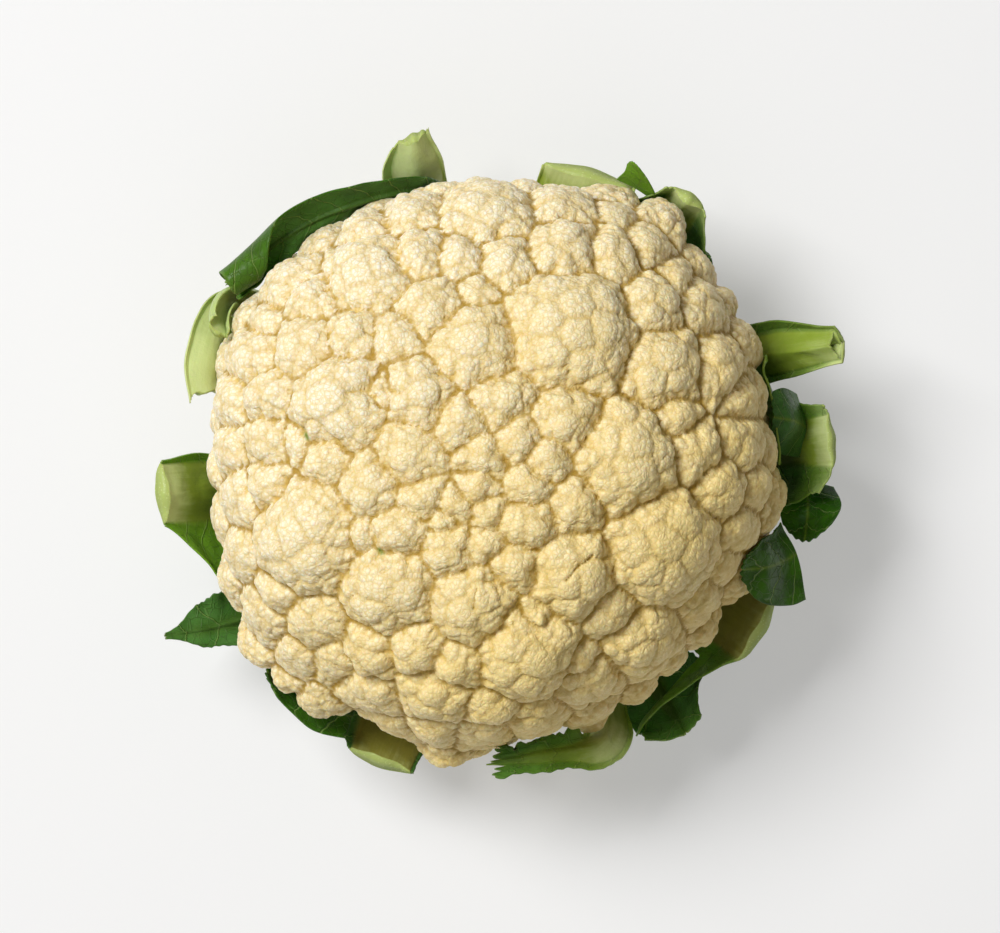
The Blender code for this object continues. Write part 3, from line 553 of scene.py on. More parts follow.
class Recipe:
    """A material under construction: short ways to add nodes and join them."""

    def __init__(self, name):
        self.material = bpy.data.materials.new(name)
        self.material.use_nodes = True
        self.tree = self.material.node_tree
        self.shader = self.tree.nodes["Principled BSDF"]

    def add(self, kind, settings=None, **inputs):
        """A node with its settings, and its inputs set to a value or joined to a socket."""
        made = self.tree.nodes.new(kind)
        for key, value in (settings or {}).items():
            setattr(made, key, value)
        for key, value in inputs.items():
            place = int(key[1:]) if key[0] == "n" and key[1:].isdigit() else key.replace("_", " ")
            self.give(made.inputs[place], value)
        return made

    def give(self, socket, value):
        if isinstance(value, bpy.types.NodeSocket):
            self.tree.links.new(value, socket)
        elif hasattr(value, "outputs"):
            self.tree.links.new(value.outputs[0], socket)
        else:
            socket.default_value = value

    def set(self, **inputs):
        """Sets the shader's own inputs."""
        for key, value in inputs.items():
            self.give(self.shader.inputs[key.replace("_", " ")], value)

    def attribute(self, name):
        return self.add("ShaderNodeAttribute", {"attribute_name": name}).outputs["Fac"]

    def maths(self, operation, *values, clamp=False):
        made = self.add("ShaderNodeMath", {"operation": operation, "use_clamp": clamp})
        for socket, value in zip(made.inputs, values):
            self.give(socket, value)
        return made.outputs[0]

    def between(self, value, low, high):
        """value as 0 at low, 1 at high, eased and clamped."""
        made = self.add("ShaderNodeMapRange", {"interpolation_type": "SMOOTHSTEP"}, Value=value)
        made.inputs["From Min"].default_value = low
        made.inputs["From Max"].default_value = high
        return made.outputs[0]

    def blend(self, share, first, second, mode="MIX"):
        """One colour turning into another as share goes from 0 to 1."""
        made = self.add("ShaderNodeMix", {"data_type": "RGBA", "blend_type": mode})
        self.give(made.inputs["Factor"], share)
        for socket, value in ((made.inputs[6], first), (made.inputs[7], second)):
            self.give(socket, (*value, 1.0) if isinstance(value, tuple) and len(value) == 3 else value)
        return made.outputs[2]

    def noise(self, place, scale, detail=3.0, roughness=0.55):
        return self.add("ShaderNodeTexNoise", Vector=place, Scale=scale, Detail=detail,
                        Roughness=roughness).outputs["Fac"]

    def cells(self, place, scale, feature="F1", randomness=1.0):
        made = self.add("ShaderNodeTexVoronoi", {"feature": feature}, Vector=place, Scale=scale,
                        Randomness=randomness)
        return made.outputs["Distance"]

    def bump(self, height, distance, strength=1.0, under=None):
        made = self.add("ShaderNodeBump", Height=height, Distance=distance, Strength=strength)
        if under is not None:
            self.give(made.inputs["Normal"], under)
        return made.outputs["Normal"]


def colour(value):
    return tuple(value)[:3]


def curd_finish(settings):
    """Cream flesh with a skin of fine granules, in painted shade: pale cream on the bumps, a deeper cream on the side
    away from the key light, and tan to golden brown between the granules, in the creases between lobes, down in hollows
    and darkest deep in the creases between florets.
    """
    recipe = Recipe("curd_flesh")
    place = recipe.add("ShaderNodeTexCoord").outputs["Object"]
    hollow, floret, lobe, granule = (recipe.attribute(name) for name in (
        "hollow", "crease_floret", "crease_lobe", "crease_granule"))
    # Painted shade: the curd's side towards the lower right, away from the key light, turns from cream to a deeper,
    # warmer cream. Noise patches add a little of the same colour as random tone.
    side = recipe.add("ShaderNodeVectorMath", {"operation": "DOT_PRODUCT"}, n0=place)
    side.inputs[1].default_value = (0.7, -0.7, 0.0)
    shaded_side = recipe.maths("MULTIPLY", recipe.between(side.outputs["Value"], -0.085, 0.085), 0.85)
    patches = recipe.maths("MULTIPLY", recipe.between(recipe.noise(place, 38.0), 0.38, 0.66), 0.15)
    shade = recipe.blend(recipe.maths("ADD", shaded_side, patches), colour(settings.cream), colour(settings.shade_and_patch_cream))
    wobbly = recipe.add("ShaderNodeVectorMath", {"operation": "MULTIPLY_ADD"})
    recipe.give(wobbly.inputs[0], recipe.add("ShaderNodeTexNoise", Vector=place, Scale=500.0).outputs["Color"])
    wobbly.inputs[1].default_value = (0.0004, 0.0004, 0.0004)
    recipe.give(wobbly.inputs[2], place)
    inward = recipe.cells(wobbly.outputs[0], 1 / settings.grain, feature="DISTANCE_TO_EDGE")
    rounded = recipe.maths("POWER", recipe.maths("MULTIPLY", inward, 2.4, clamp=True), 0.6)
    # Painted shade: the lines between the finest grains and the creases between granules are coloured darker.
    lines = recipe.between(inward, 0.15, 0.0)
    shade = recipe.blend(recipe.maths("MULTIPLY", lines, 0.55), shade, colour(settings.granule_shade))
    shade = recipe.blend(recipe.maths("MULTIPLY", granule, 0.62), shade, colour(settings.granule_shade))
    # Painted shade: darker tan in the creases between lobes and down in hollows, and golden brown deep in the creases
    # between florets and in the slits.
    shade = recipe.blend(recipe.maths("MULTIPLY", lobe, 0.5), shade, colour(settings.tan))
    shade = recipe.blend(recipe.between(hollow, 0.3, 1.1), shade, colour(settings.tan))
    deep = recipe.maths("MULTIPLY", recipe.between(floret, 0.1, 0.9), recipe.between(hollow, -0.2, 0.5))
    shade = recipe.blend(deep, shade, colour(settings.crease_shade))
    shade = recipe.blend(recipe.attribute("speck"), shade, (0.16, 0.24, 0.03))
    ripple = recipe.bump(recipe.noise(place, 1800.0, 3.0), 0.00006)
    skin = recipe.bump(rounded, settings.grain_height, under=ripple)
    recipe.set(Base_Color=shade, Roughness=0.55, Normal=skin, Subsurface_Weight=0.30,
               Subsurface_Radius=(1.0, 0.62, 0.28), Subsurface_Scale=0.0022, IOR=1.4)
    return recipe.material


def stalk_finish(settings):
    """Pale green-cream flesh with fibres, paler and ringed where it's cut underneath."""
    recipe = Recipe("stalk_flesh")
    place = recipe.add("ShaderNodeTexCoord").outputs["Object"]
    axes = recipe.add("ShaderNodeSeparateXYZ", Vector=place)
    stretched = recipe.add("ShaderNodeMapping", Vector=place)
    stretched.inputs["Scale"].default_value = (420.0, 420.0, 45.0)
    fibres = recipe.noise(stretched.outputs[0], 1.0, 5.0)
    patches = recipe.noise(place, 60.0)
    shade = recipe.blend(recipe.between(patches, 0.3, 0.7), colour(settings.flesh), colour(settings.skin))
    shade = recipe.blend(recipe.between(fibres, 0.52, 0.74), shade, colour(settings.fibre))
    from_axis = recipe.add("ShaderNodeVectorMath", {"operation": "LENGTH"})
    flat = recipe.add("ShaderNodeCombineXYZ", X=axes.outputs["X"], Y=axes.outputs["Y"])
    recipe.give(from_axis.inputs[0], flat.outputs[0])
    far = recipe.maths("ADD", from_axis.outputs["Value"], recipe.maths("MULTIPLY", patches, 0.004))
    ring = recipe.between(recipe.maths("ABSOLUTE", recipe.maths("SUBTRACT", far, 0.0175)), 0.0016, 0.0)
    cut = recipe.blend(ring, colour(settings.cut), colour(settings.ring))
    cut = recipe.blend(recipe.between(recipe.cells(place, 900.0), 0.25, 0.05), cut, colour(settings.fibre))
    shade = recipe.blend(recipe.between(axes.outputs["Z"], 0.0011, 0.0004), shade, cut)
    grain = recipe.bump(fibres, 0.0003)
    recipe.set(Base_Color=shade, Roughness=0.5, Normal=grain, Subsurface_Weight=0.25,
               Subsurface_Radius=(0.7, 1.0, 0.35), Subsurface_Scale=0.003, IOR=1.4)
    return recipe.material


def vein_lines(recipe, spread, spacing, slope, width):
    """1 on the side veins, which leave the midrib at a slant, as seen in the flat leaf."""
    axes = recipe.add("ShaderNodeSeparateXYZ", Vector=spread)
    across = recipe.maths("ABSOLUTE", axes.outputs["X"])
    wander = recipe.maths("MULTIPLY", recipe.noise(spread, 9.0, 2.0), 0.06)
    along = recipe.maths("SUBTRACT", axes.outputs["Y"], recipe.maths("MULTIPLY", across, slope))
    place = recipe.maths("DIVIDE", recipe.maths("ADD", along, wander), spacing)
    beside = recipe.maths("ABSOLUTE", recipe.maths("SUBTRACT", recipe.maths("FRACT", place), 0.5))
    return recipe.between(beside, width, width * 0.25)


def leaf_finish(name, settings, upper):
    """A leaf's skin: fleshy stalk, branching veins, mottled blade, and wet pale flesh where it's cut."""
    recipe = Recipe(name)
    place = recipe.add("ShaderNodeTexCoord").outputs["Object"]
    spread = recipe.add("ShaderNodeUVMap", {"uv_map": "flat_leaf"}).outputs[0]
    stem, pale, olive, tone, cut = (recipe.attribute(key) for key in ("stem", "pale", "olive", "tone", "cut"))
    mottle = recipe.noise(place, 120.0, 4.0)
    dark, light = (settings.blade_dark, settings.blade_light) if upper else (settings.back, settings.back_light)
    shade = recipe.blend(recipe.between(mottle, 0.35, 0.68), colour(dark), colour(light))
    shade = recipe.blend(tone, shade, colour(settings.blade_bright))
    main = vein_lines(recipe, spread, settings.vein_spacing * 10, 0.75, 0.045)
    small = recipe.cells(spread, 30.0, feature="DISTANCE_TO_EDGE")
    net = recipe.between(small, 0.035, 0.0)
    shade = recipe.blend(recipe.maths("MULTIPLY", net, 0.14), shade, colour(settings.vein))
    shade = recipe.blend(recipe.maths("MULTIPLY", main, 0.42), shade, colour(settings.vein))
    streaked = recipe.add("ShaderNodeMapping", Vector=spread)
    streaked.inputs["Scale"].default_value = (75.0, 5.0, 1.0)
    streaks = recipe.noise(streaked.outputs[0], 1.0, 4.0)
    ripe = recipe.maths("ADD", pale, recipe.maths("MULTIPLY", recipe.maths("SUBTRACT", streaks, 0.5), 0.4))
    ripe = recipe.maths("ADD", ripe, recipe.maths("MULTIPLY", recipe.maths("SUBTRACT", mottle, 0.5), 0.5))
    green = recipe.blend(recipe.between(ripe, 0.0, 0.55), colour(settings.petiole_deep), colour(settings.petiole))
    green = recipe.blend(recipe.between(ripe, 0.5, 1.0), green, colour(settings.petiole_pale))
    brown = recipe.blend(recipe.between(ripe, 0.0, 0.6), colour(settings.olive_deep), colour(settings.olive))
    brown = recipe.blend(recipe.between(ripe, 0.6, 1.2), brown, colour(settings.petiole_pale))
    shade = recipe.blend(stem, shade, recipe.blend(olive, green, brown))
    wet = recipe.blend(recipe.between(recipe.cells(place, 1100.0), 0.3, 0.1), colour(settings.cut_face),
                       colour(settings.petiole_pale))
    shade = recipe.blend(recipe.maths("MULTIPLY", cut, recipe.maths("MAXIMUM", stem, 0.15)), shade, wet)
    relief = recipe.maths("ADD", main, recipe.maths("MULTIPLY", net, 0.4))
    relief = recipe.maths("MULTIPLY", relief, recipe.maths("SUBTRACT", 1.0, stem))
    relief = recipe.maths("MULTIPLY", relief, -1.0 if upper else 1.0)
    fine = recipe.maths("ADD", recipe.noise(place, 800.0, 4.0), recipe.maths("MULTIPLY", streaks, 0.8))
    skin = recipe.bump(relief, 0.0005, under=recipe.bump(fine, 0.00016))
    recipe.set(Base_Color=shade, Roughness=0.33 if upper else 0.45, Normal=skin, Specular_IOR_Level=0.25,
               Subsurface_Weight=0.22, Subsurface_Radius=(0.6, 1.0, 0.2), Subsurface_Scale=0.0022, IOR=1.42)
    return recipe.material


# The leaves

def curve_point(points, share):
    """A point on the smooth curve through points, at a share of the way along."""
    place = min(max(share, 0.0), 1.0) * (len(points) - 1)
    n = min(int(place), len(points) - 2)
    t = place - n
    before = points[n - 1] if n > 0 else 2 * points[0] - points[1]
    after = points[n + 2] if n + 2 < len(points) else 2 * points[-1] - points[-2]
    a, b = points[n], points[n + 1]
    return 0.5 * (2 * a + (b - before) * t + (2 * before - 5 * a + 4 * b - after) * t * t
                  + (3 * a - before - 3 * b + after) * t ** 3)


def arc(length, angle, rate):
    """Where an arc of that length ends that starts at an angle and turns at a rate, in the flat."""
    if abs(rate) < 1e-9:
        return length * math.cos(angle), length * math.sin(angle)
    last = angle + rate * length
    return (math.sin(last) - math.sin(angle)) / rate, (math.cos(angle) - math.cos(last)) / rate


def leaf_frame(leaf, points, share):
    """Place on the midrib, and the ways along it, across it (anticlockwise) and out of its upper side."""
    step = 0.01
    place = curve_point(points, share)
    ahead, behind = curve_point(points, min(share + step, 1)), curve_point(points, max(share - step, 0))
    along = (ahead - behind).normalized()
    azimuth = math.degrees(math.atan2(place.y, place.x))
    outward = around(1.0, azimuth, 0.0)
    if "face" in leaf:
        face = math.radians(profile(leaf["face"], share))
        upper = Vector((0, 0, 1)) * math.cos(face) - outward * math.sin(face)
    else:
        upper = Vector((0, 0, 1)) * max(along.dot(outward), 0.05) - outward * max(along.z, 0.0)
    upper = (upper - along * upper.dot(along)).normalized()
    return place, along, upper.cross(along).normalized(), upper


def teeth(share, side, depth):
    """How much of a blade's width its teeth leave, at a share of the way along a margin."""
    place = share * TEETH + 0.45 * noise.noise(Vector((share * 9, side * 3.1, 0)))
    coarse = abs(2 * (place % 1.0) - 1)
    fine = abs(2 * ((place * 3.7 + 0.3 * side) % 1.0) - 1)
    return 1 - depth * coarse - (0.4 * depth + 0.02) * fine


def leaf_point(leaf, points, share, side, rib_part, blade_part):
    """A point of the leaf's upper surface, and how wide the leaf is there. side is 1 for the ccw blade."""
    outwards = side * (rib_part + 2 * blade_part) / 3
    share *= 1 - share ** 6 * (leaf.get("slant", 0.0) * (outwards + 1) + leaf.get("jag", 0.01) * (
        0.5 + noise.noise(Vector((outwards * 6, len(points), 1.7)))))
    place, along, across, upper = leaf_frame(leaf, points, share)
    rib = profile(leaf["rib"], share)
    width = profile(leaf["ccw"] if side > 0 else leaf["cw"], share)
    cup = math.radians(leaf["cup"])
    own = "" if side > 0 else "_cw"
    curl = math.radians(profile(leaf.get("curl" + own, leaf.get("curl", 0.0)), share))
    out, rise = arc(rib * rib_part, 0.0, cup / rib)
    if blade_part > 0:
        width *= teeth(share, side, leaf.get("saw", 0.0))
        more = arc(width * blade_part, cup, curl)
        wave = leaf.get("ruffle", 0.0) * min(width / 12, 1.0) * blade_part ** 1.5
        ripple = math.sin(2 * math.pi * RUFFLES * share + side) + 0.35 * math.sin(
            2 * math.pi * RUFFLES * 2.7 * share + 2 * side)
        out, rise = out + more[0], rise + more[1] + wave * ripple
    lean = leaf.get("sweep" + own, leaf.get("sweep", 0.0)) * width * blade_part
    place = place + across * (side * out) + upper * rise + along * lean
    return place + upper * 0.5 * noise.noise(place / 6), rib + width


class CurdSkin:
    """The curd's surface, for keeping leaves out of it."""

    def __init__(self, curd):
        corners, edges, normals = mesh_arrays(curd.data)
        corners, normals = corners / MM, smoothed(normals, edges, 6)
        self.corners = corners[::3]
        self.normals = normals[::3] / numpy.linalg.norm(normals[::3], axis=1, keepdims=True)
        self.tree = KDTree(len(self.corners))
        for n, corner in enumerate(self.corners):
            self.tree.insert(corner, n)
        self.tree.balance()

    def push(self, places):
        """How far each place has to move to lie clear of the curd."""
        found = numpy.array([self.tree.find(place)[1] for place in places])
        normals = self.normals[found]
        height = ((places - self.corners[found]) * normals).sum(axis=1)
        return normals * numpy.maximum(LEAF_GAP - height, 0.0)[:, None]


def eased_clear(places, rows, columns, skin, rounds):
    """A grid of places moved clear of the curd, with the moves spread softly over their neighbours."""
    need = skin.push(places)
    need = (need + skin.push(places + need)).reshape(rows, columns, 3)
    length = numpy.linalg.norm(need, axis=2, keepdims=True)
    way = need / numpy.maximum(length, 1e-9)
    moves = need
    for _ in range(rounds):
        padded = numpy.pad(moves, ((1, 1), (1, 1), (0, 0)), mode="edge")
        mean = (padded[:-2, 1:-1] + padded[2:, 1:-1] + padded[1:-1, :-2] + padded[1:-1, 2:] + moves) / 5
        moves = mean + way * numpy.maximum(length - (mean * way).sum(axis=2, keepdims=True), 0.0)
    return places + moves.reshape(-1, 3)


def sheet_mesh(name, settings, skin, places, columns, spread, looks, depth, finishes):
    """Makes a grid of places into a leaf's skin with the given looks and depth at every place."""
    rows = len(places) // columns
    places = eased_clear(numpy.array(places), rows, columns, skin, settings.easing)
    corner = numpy.arange(rows * columns).reshape(rows, columns)
    faces = numpy.stack((corner[:-1, :-1], corner[:-1, 1:], corner[1:, 1:], corner[1:, :-1]), axis=-1)
    mesh = mesh_from_arrays(name, places * MM, faces.reshape(-1, 4))
    made = new_object(name, mesh, *finishes)
    for key, values in looks.items():
        set_attribute(mesh, key, values)
    flat = mesh.uv_layers.new(name="flat_leaf")
    flat.data.foreach_set("uv", numpy.array(spread, dtype=numpy.float32)[faces.reshape(-1)].ravel())
    group = made.vertex_groups.new(name="thickness")
    most = max(depth)
    for index, deep in enumerate(depth):
        group.add([index], deep / most, "REPLACE")
    thicken = made.modifiers.new("Thicken", "SOLIDIFY")
    thicken.thickness = most * MM
    thicken.offset = -1
    thicken.vertex_group = "thickness"
    thicken.material_offset = 1
    settle(made)
    return made


def grow_leaf(name, settings, skin, finishes):
    leaf = LEAVES[name]
    points = [around(*station) for station in leaf["path"]]
    rows, half = settings.rows, settings.columns
    ribs = [n / 6 for n in range(7)]
    blades = [(n + 1) / half for n in range(half)]
    one_side = [(part, 0.0) for part in ribs] + [(1.0, part) for part in blades]
    columns = [(-1, *part) for part in reversed(one_side[1:])] + [(1, *part) for part in one_side]
    places, spread, depth = [], [], []
    looks = {key: [] for key in ("stem", "pale", "olive", "tone", "cut")}
    length, before = 0.0, points[0]
    for row in range(rows):
        share = row / (rows - 1)
        here = curve_point(points, share)
        length += (here - before).length
        before = here
        body, rib = profile(leaf["thick"], share), profile(leaf["rib"], share)
        whole = profile(leaf.get("whole", 0.0), share)
        plain = min(1.0, 0.25 + rib / 5)
        for side, rib_part, blade_part in columns:
            place, wide = leaf_point(leaf, points, share, side, rib_part, blade_part)
            places.append(tuple(place))
            spread.append((side * (rib * rib_part + (wide - rib) * blade_part) / 100, length / 100))
            if blade_part > 0:
                stem = max(whole, plain * (1 - blade_part * wide / 2.5))
                deep = BLADE_THICKNESS + (body * 0.25 - BLADE_THICKNESS) * max(0.0, 1 - blade_part * 5)
            else:
                stem = plain
                deep = max(body * (1 - 0.75 * rib_part ** 2), body * 0.25)
            depth.append(max(deep, BLADE_THICKNESS))
            for key, value in (("stem", stem), ("pale", profile(leaf["pale"], share)),
                               ("olive", leaf.get("olive", 0.0)), ("tone", profile(leaf.get("tone", 0.0), share)),
                               ("cut", float(row == rows - 1))):
                looks[key].append(value)
    made = [sheet_mesh(name, settings, skin, places, len(columns), spread, looks, depth, finishes)]
    for sheet in SHEETS.get(name, ()):
        made.append(grow_sheet(name + "_fold", settings, skin, sheet, finishes))
    for piece in made:
        stand_for(piece, name)


def grow_sheet(name, settings, skin, sheet, finishes):
    """A fold of blade, smoothly through its rows of points."""
    grid = [[Vector(point) for point in reversed(row)] for row in sheet["rows"]]
    rows, columns = 50, 41
    places, spread, depth = [], [], []
    looks = {key: [] for key in ("stem", "pale", "olive", "tone", "cut")}
    for row in range(rows):
        along = row / (rows - 1)
        for column in range(columns):
            across = column / (columns - 1)
            inset = 1 - 0.12 * along ** 2
            edge = 0.5 + (across - 0.5) * inset
            reach = along * (1 - 0.16 * abs(2 * across - 1) ** 3 - 0.04 * abs(2 * (across * 6.3 % 1) - 1))
            place = curve_point([curve_point(line, edge) for line in grid], reach)
            wave = sheet["ruffle"] * noise.noise(place / 5)
            places.append((place.x, place.y, place.z + wave))
            spread.append(((across - 0.5) * 0.24, along * 0.3))
            depth.append(BLADE_THICKNESS)
            middle = max(0.0, 1 - abs(across - 0.5) * 30) * 0.7
            for key, value in (("stem", middle), ("pale", 0.3), ("olive", 0.0), ("tone", sheet["tone"]),
                               ("cut", 0.0)):
                looks[key].append(value)
    return sheet_mesh(name, settings, skin, places, columns, spread, looks, depth, finishes)


# What a user would change

class CurdSettings(bpy.types.PropertyGroup):
    fineness: IntProperty(name="Fineness", description="Steps of splitting of the ball it is shaped from",
                          default=8, min=4, max=9)
    step: FloatProperty(name="Mesh step", description="Size of the curd's mesh faces", default=0.00060,
                        min=0.0003, unit="LENGTH")
    clump_spacing: FloatProperty(name="Clump spacing", description="Distance between the clumps of lobes",
                                 default=0.0088, min=0.003, unit="LENGTH")
    clump_height: FloatProperty(name="Clump height", description="How far a clump stands out", default=0.0014,
                                min=0.0, unit="LENGTH")
    lobe_spacing: FloatProperty(name="Lobe spacing", description="Distance between lobes", default=0.0048,
                                min=0.001, unit="LENGTH")
    lobe_height: FloatProperty(name="Lobe height", description="How far a lobe stands out", default=0.0012,
                               min=0.0, unit="LENGTH")
    granule_spacing: FloatProperty(name="Granule spacing", description="Distance between granules",
                                   default=0.0020, min=0.0006, unit="LENGTH")
    granule_height: FloatProperty(name="Granule height", description="How far a granule stands out",
                                  default=0.00044, min=0.0, unit="LENGTH")
    grain: FloatProperty(name="Grain size", description="Width of the finest grains", default=0.0014,
                         min=0.0003, unit="LENGTH")
    grain_height: FloatProperty(name="Grain height", description="How far a grain stands out",
                                default=0.00017, min=0.0, unit="LENGTH")
    cream: FloatVectorProperty(name="Cream", description="Colour of the bumps", subtype="COLOR",
                               default=(0.95, 0.90, 0.75), min=0, max=1)
    # Painted shade: the deeper cream of the curd's side away from the key light, also used for its random warmer
    # patches.
    shade_and_patch_cream: FloatVectorProperty(name="Warm cream", description="Colour on the side that faces away",
                                    subtype="COLOR", default=(0.90, 0.71, 0.29), min=0, max=1)
    # Painted shade: the darker colours between granules, between lobes and down between the florets.
    granule_shade: FloatVectorProperty(name="Dimple", description="Colour between the granules", subtype="COLOR",
                                default=(0.80, 0.61, 0.22), min=0, max=1)
    tan: FloatVectorProperty(name="Tan", description="Colour between the buds", subtype="COLOR",
                             default=(0.67, 0.47, 0.12), min=0, max=1)
    crease_shade: FloatVectorProperty(name="Crease", description="Colour down between the florets", subtype="COLOR",
                                default=(0.43, 0.26, 0.03), min=0, max=1)


class StalkSettings(bpy.types.PropertyGroup):
    step: FloatProperty(name="Mesh step", description="Size of the stalk's mesh faces", default=0.0011,
                        min=0.0004, unit="LENGTH")
    flesh: FloatVectorProperty(name="Flesh", description="Colour of the branches", subtype="COLOR",
                               default=(0.72, 0.74, 0.44), min=0, max=1)
    skin: FloatVectorProperty(name="Skin", description="Greener patches of the skin", subtype="COLOR",
                              default=(0.48, 0.58, 0.24), min=0, max=1)
    fibre: FloatVectorProperty(name="Fibre", description="Colour of the fibres", subtype="COLOR",
                               default=(0.80, 0.82, 0.58), min=0, max=1)
    cut: FloatVectorProperty(name="Cut face", description="Colour of the face it stands on", subtype="COLOR",
                             default=(0.83, 0.80, 0.60), min=0, max=1)
    ring: FloatVectorProperty(name="Ring", description="Colour of the ring in the cut face", subtype="COLOR",
                              default=(0.52, 0.55, 0.26), min=0, max=1)


class LeafSettings(bpy.types.PropertyGroup):
    rows: IntProperty(name="Rows", description="Mesh rows from the stalk to the cut end", default=130, min=15)
    columns: IntProperty(name="Columns", description="Mesh columns across one blade", default=20, min=3)
    easing: IntProperty(name="Easing", description="How softly a leaf bends round the florets", default=40, min=1)
    vein_spacing: FloatProperty(name="Vein spacing", description="Distance between side veins along the midrib",
                                default=0.010, min=0.002, unit="LENGTH")
    blade_dark: FloatVectorProperty(name="Blade", description="Darkest green of the blade", subtype="COLOR",
                                    default=(0.009, 0.046, 0.004), min=0, max=1)
    blade_light: FloatVectorProperty(name="Light blade", description="Lighter patches of the blade",
                                     subtype="COLOR", default=(0.030, 0.110, 0.005), min=0, max=1)
    blade_bright: FloatVectorProperty(name="Young blade", description="Bright green of young blades",
                                      subtype="COLOR", default=(0.170, 0.340, 0.015), min=0, max=1)
    back: FloatVectorProperty(name="Back", description="Bluish green of the blade's back", subtype="COLOR",
                              default=(0.026, 0.090, 0.018), min=0, max=1)
    back_light: FloatVectorProperty(name="Light back", description="Paler patches of the back", subtype="COLOR",
                                    default=(0.060, 0.160, 0.040), min=0, max=1)
    vein: FloatVectorProperty(name="Veins", description="Colour of the veins", subtype="COLOR",
                              default=(0.30, 0.42, 0.12), min=0, max=1)
    petiole_deep: FloatVectorProperty(name="Deep leaf stalk", description="Darkest flesh of the leaf stalks",
                                      subtype="COLOR", default=(0.045, 0.085, 0.006), min=0, max=1)
    petiole: FloatVectorProperty(name="Leaf stalk", description="Colour of the leaf stalks", subtype="COLOR",
                                 default=(0.240, 0.330, 0.035), min=0, max=1)
    petiole_pale: FloatVectorProperty(name="Pale leaf stalk", description="Their palest flesh", subtype="COLOR",
                                      default=(0.560, 0.640, 0.270), min=0, max=1)
    olive_deep: FloatVectorProperty(name="Deep olive", description="Darkest flesh of the olive leaf stalks",
                                    subtype="COLOR", default=(0.070, 0.070, 0.006), min=0, max=1)
    olive: FloatVectorProperty(name="Olive", description="Flesh of the olive leaf stalks", subtype="COLOR",
                               default=(0.230, 0.215, 0.035), min=0, max=1)
    cut_face: FloatVectorProperty(name="Cut face", description="Wet flesh where the leaf is cut",
                                  subtype="COLOR", default=(0.42, 0.50, 0.15), min=0, max=1)


class StageSettings(bpy.types.PropertyGroup):
    floor: FloatVectorProperty(name="Floor", description="Colour of the floor", subtype="COLOR",
                               default=(0.56, 0.56, 0.56), min=0, max=1)
    floor_glow: FloatProperty(name="Floor glow", description="Light that comes up through the floor",
                              default=0.33, min=0.0)
    key_power: FloatProperty(name="Key light", description="Power of the light at the upper left", default=69.0,
                             min=0.0)
    fill_power: FloatProperty(name="Fill light", description="Power of the soft light in front", default=4.0,
                              min=0.0)
    sky: FloatProperty(name="Sky", description="Strength of the even light all round", default=0.12, min=0.0)
    camera_height: FloatProperty(name="Camera height", description="Height above the curd's widest level",
                                 default=1.5, min=0.3, unit="LENGTH")


# Operators

